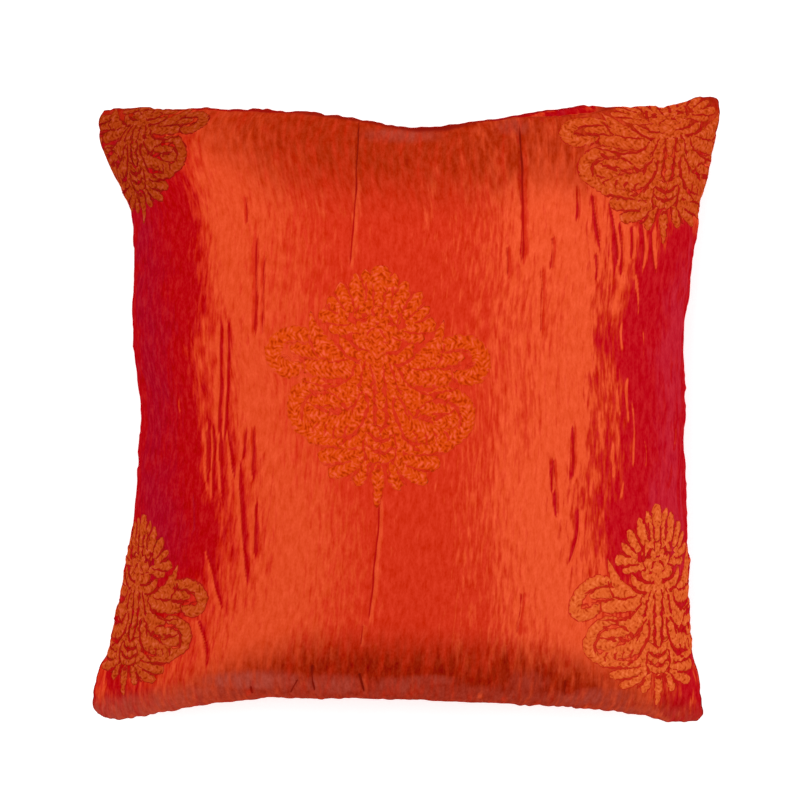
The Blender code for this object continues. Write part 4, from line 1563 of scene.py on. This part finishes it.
def leaf_tubes(x, y, wide, ring, rise, sink):
    """Closed puffed leaves on the flat cloth, as points, their places on the leaf, and faces.

    A leaf is a flattened ring about each point of its middle line, and an end point at its root and its tip.
    A ring has its table's shares of the half width across, and of the rise over the cloth or the sink under.
    """
    heading = np.arctan2(np.gradient(y, axis=1), np.gradient(x, axis=1))
    share, level = np.array(ring, float).T
    across = wide[:, 1:-1, None] * share
    x_ring = x[:, 1:-1, None] - np.sin(heading)[:, 1:-1, None] * across
    y_ring = y[:, 1:-1, None] + np.cos(heading)[:, 1:-1, None] * across
    full = np.sqrt(np.clip(wide[:, 1:-1, None] / wide.max(axis=1)[:, None, None], 0, 1))
    z_ring = level * np.where(level > 0, rise * full, sink)
    steps = np.hypot(np.diff(x, axis=1), np.diff(y, axis=1))
    along = np.concatenate([np.zeros((len(x), 1)), np.cumsum(steps, axis=1)], axis=1)
    count, rings, around = x.shape[0], x.shape[1] - 2, len(ring)
    ring_points = np.stack([x_ring, y_ring, np.broadcast_to(z_ring, x_ring.shape)], axis=-1)
    ends = np.stack([x[:, [0, -1]], y[:, [0, -1]], np.zeros((count, 2))], axis=-1)
    points = np.concatenate([ring_points.reshape(count, -1, 3), ends], axis=1)
    edge = np.broadcast_to(np.abs(share), x_ring.shape)
    ring_place = np.stack([across, np.broadcast_to(along[:, 1:-1, None], across.shape), edge], axis=-1)
    end_place = np.stack([np.zeros((count, 2)), along[:, [0, -1]], np.ones((count, 2))], axis=-1)
    places = np.concatenate([ring_place.reshape(count, -1, 3), end_place], axis=1)
    number = np.arange(rings * around).reshape(rings, around)
    after = np.roll(number, -1, axis=1)
    walls = np.stack([number[:-1], number[1:], after[1:], after[:-1]], axis=-1).reshape(-1, 4)
    first, last = rings * around, rings * around + 1
    start_cap = [(first, int(a), int(b)) for a, b in zip(number[0], after[0])]
    end_cap = [(last, int(b), int(a)) for a, b in zip(number[-1], after[-1])]
    one_leaf = [tuple(face) for face in walls.tolist()] + start_cap + end_cap
    starts = [leaf * (last + 1) for leaf in range(count)]
    faces = [tuple(corner + start for corner in face) for start in starts for face in one_leaf]
    return points.reshape(-1, 3), places.reshape(-1, 3), faces


def flat_layers(medallion, look, mirror):
    """The layers of half a medallion on the flat cloth: its leaves, the ground under them, and the gaps.

    A place moves down by the square of its share of the half width times the droop of that side. A layer is
    its middle lines and half widths, its ring, its rise and its sink, and 1 where it is ground.
    """
    droop = medallion["droop_right"] if mirror > 0 else medallion["droop_left"]
    half_width, half_height = medallion["half_width"], medallion["half_height"]

    def laid_flat(x, y, wide, fullness):
        flat_x = medallion["x"] + x / 100 * half_width - medallion["lean"] * y / 100
        flat_y = medallion["y"] + y / 100 * half_height - droop * (x / 100) ** 2
        return flat_x, flat_y, wide / 100 * (half_width + half_height) / 2 * fullness

    x, y, wide = laid_flat(*leaf_lines(mirror), look["fullness"])
    wider = np.where(wide > TINY, wide + GROUND_MARGIN, 0)
    height = bpy.context.scene.cushion_sizes.leaf_height * look["rise"]
    return (
        ((x, y, wide), LEAF_RING, height, LEAF_SINK, 0.0),
        ((x, y, wider), LEAF_RING, GROUND_LIFT, GROUND_SINK, 1.0),
        (laid_flat(*gap_lines(mirror), look["gap"]), GAP_RING, height + GAP_RISE, GAP_SINK, 1.0),
    )


def lay_medallion(name, row, look, material, shift):
    """One medallion, both its halves in one mesh, cut off at the seams and laid on the filled front."""
    medallion = in_metres(MEDALLION_COLUMNS, [row])[0]
    all_points, all_places, all_grounds, all_faces = [], [], [], []
    start = 0
    for mirror in (1, -1):
        for lines, ring, rise, sink, ground in flat_layers(medallion, look, mirror):
            points, places, faces = leaf_tubes(*lines, ring, rise, sink)
            all_points.append(points)
            all_places.append(places * (mirror, 1, 1))
            all_grounds.append(np.full(len(points), ground))
            all_faces += [tuple(corner + start for corner in face) for face in faces]
            start += len(points)
    points = np.concatenate(all_points)
    lattice = points[:, :2] / RAGGED_PITCH + 256
    for axis in (0, 1):
        points[:, axis] += RAGGED * value_noise(lattice[:, 0], lattice[:, 1], CRINKLE_SEED + 50 + axis)
    made = new_mesh("medallion_" + name, points, all_faces, material)
    facing_up, painted_light_level, share = [np.full(start, look[part]) for part in ("facing_up", "painted_light_level", "cloth_share")]
    put_attribute(made.data, "leaf_place", np.concatenate(all_places))
    put_attribute(made.data, "look", np.stack([np.concatenate(all_grounds), facing_up, painted_light_level], axis=-1))
    put_attribute(made.data, "cloth_share", share)
    cut_at_seams(made.data)
    flat = np.empty(len(made.data.vertices) * 3)
    made.data.vertices.foreach_get("co", flat)
    flat = flat.reshape(-1, 3)
    s, t = np.clip(flat[:, 0] / HALF, -1, 1), np.clip(flat[:, 1] / HALF, -1, 1)
    cloth, normal, _ = front_cloth(s, t)
    laid = cloth + normal * flat[:, 2:] - shift
    made.data.vertices.foreach_set("co", laid.ravel())
    x, y = seen_from_above(cloth)
    put_attribute(made.data, "cloth_place", flat)
    put_attribute(made.data, "lean_across", turn_across(x, y))
    put_attribute(made.data, "bands", edge_bands(x, y))
    made.data.update()
    return made


def cut_at_seams(mesh):
    """Cuts away what lies past the seams, closes each cut and turns every face outwards."""
    work = bmesh.new()
    work.from_mesh(mesh)
    limit = HALF - SEAM_MARGIN
    for normal in ((1, 0, 0), (-1, 0, 0), (0, 1, 0), (0, -1, 0)):
        place = tuple(limit * part for part in normal)
        everything = work.verts[:] + work.edges[:] + work.faces[:]
        bmesh.ops.bisect_plane(work, geom=everything, plane_co=place, plane_no=normal, clear_outer=True)
        open_edges = [edge for edge in work.edges if edge.is_boundary]
        if open_edges:
            bmesh.ops.holes_fill(work, edges=open_edges, sides=0)
    bmesh.ops.recalc_face_normals(work, faces=work.faces[:])
    work.to_mesh(mesh)
    work.free()


class CUSHION_OT_weave_medallions(bpy.types.Operator):
    """Lays the five woven medallions on the front, the outer four cut off by the seams."""

    bl_idname = "cushion.weave_medallions"
    bl_label = "Weave the medallions"

    def execute(self, context):
        material = medallion_weave()
        shift = centring()
        for name, row in MEDALLION_ROWS.items():
            look = dict(zip(LOOK_COLUMNS, MEDALLION_LOOKS[name]))
            made = lay_medallion(name, row, look, material, shift)
            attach(made, "root")
        return {"FINISHED"}


class CUSHION_OT_lay_stage(bpy.types.Operator):
    """Lays a pale floor and sets the soft lights and the camera straight above."""

    bl_idname = "cushion.lay_stage"
    bl_label = "Lay the stage"

    def execute(self, context):
        scene = bpy.context.scene
        side = FLOOR_SIDE / 2
        corners = np.array([(-side, -side, 0), (side, -side, 0), (side, side, 0), (-side, side, 0)])
        floor = new_mesh("floor", corners, [(0, 1, 2, 3)], pale_table())
        world = bpy.data.worlds.new("studio")
        world.use_nodes = True
        background = world.node_tree.nodes["Background"]
        background.inputs["Color"].default_value = (1, 1, 1, 1)
        background.inputs["Strength"].default_value = SKY_STRENGTH
        scene.world = world
        key_data = bpy.data.lights.new("key", "AREA")
        key_data.shape = "SQUARE"
        key_data.size = KEY_SIZE
        key_data.energy = KEY_POWER
        key = bpy.data.objects.new("key", key_data)
        key.location = KEY_AT
        key.rotation_euler = (*np.radians(KEY_TILT), 0)
        scene.collection.objects.link(key)
        lens = bpy.data.cameras.new("camera")
        lens.sensor_width = SENSOR
        lens.lens = SENSOR * CAMERA_HEIGHT / VIEW_WIDTH
        lens.clip_end = CLIP_END
        shift = centring()
        camera = bpy.data.objects.new("camera", lens)
        camera.location = (CAMERA_AT[0] - shift[0], CAMERA_AT[1] - shift[1], SEAM_HEIGHT + CAMERA_HEIGHT)
        scene.collection.objects.link(camera)
        scene.camera = camera
        scene.view_settings.view_transform = "Standard"
        return {"FINISHED"}


class CUSHION_PT_panel(bpy.types.Panel):
    """Lists the cushion's operators, sizes and colours in the sidebar."""

    bl_idname = "CUSHION_PT_panel"
    bl_label = "Cushion cover"
    bl_space_type = "VIEW_3D"
    bl_region_type = "UI"
    bl_category = "Cushion"

    def draw(self, context):
        for operator in OPERATORS:
            self.layout.operator(operator.bl_idname)
        for group in (context.scene.cushion_sizes, context.scene.cushion_colours):
            for name in group.__annotations__:
                self.layout.prop(group, name)


OPERATORS = (CUSHION_OT_fill_cover, CUSHION_OT_weave_medallions, CUSHION_OT_lay_stage)
CLASSES = (CushionSizes, CushionColours, *OPERATORS, CUSHION_PT_panel)


def register():
    for kind in CLASSES:
        bpy.utils.register_class(kind)
    bpy.types.Scene.cushion_sizes = bpy.props.PointerProperty(type=CushionSizes)
    bpy.types.Scene.cushion_colours = bpy.props.PointerProperty(type=CushionColours)


def unregister():
    del bpy.types.Scene.cushion_sizes
    del bpy.types.Scene.cushion_colours
    for kind in reversed(CLASSES):
        bpy.utils.unregister_class(kind)


def main():
    """Registers the add-on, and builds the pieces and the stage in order."""
    register()
    bpy.ops.cushion.fill_cover()
    bpy.ops.cushion.weave_medallions()
    bpy.ops.cushion.lay_stage()


if __name__ == "__main__":
    main()
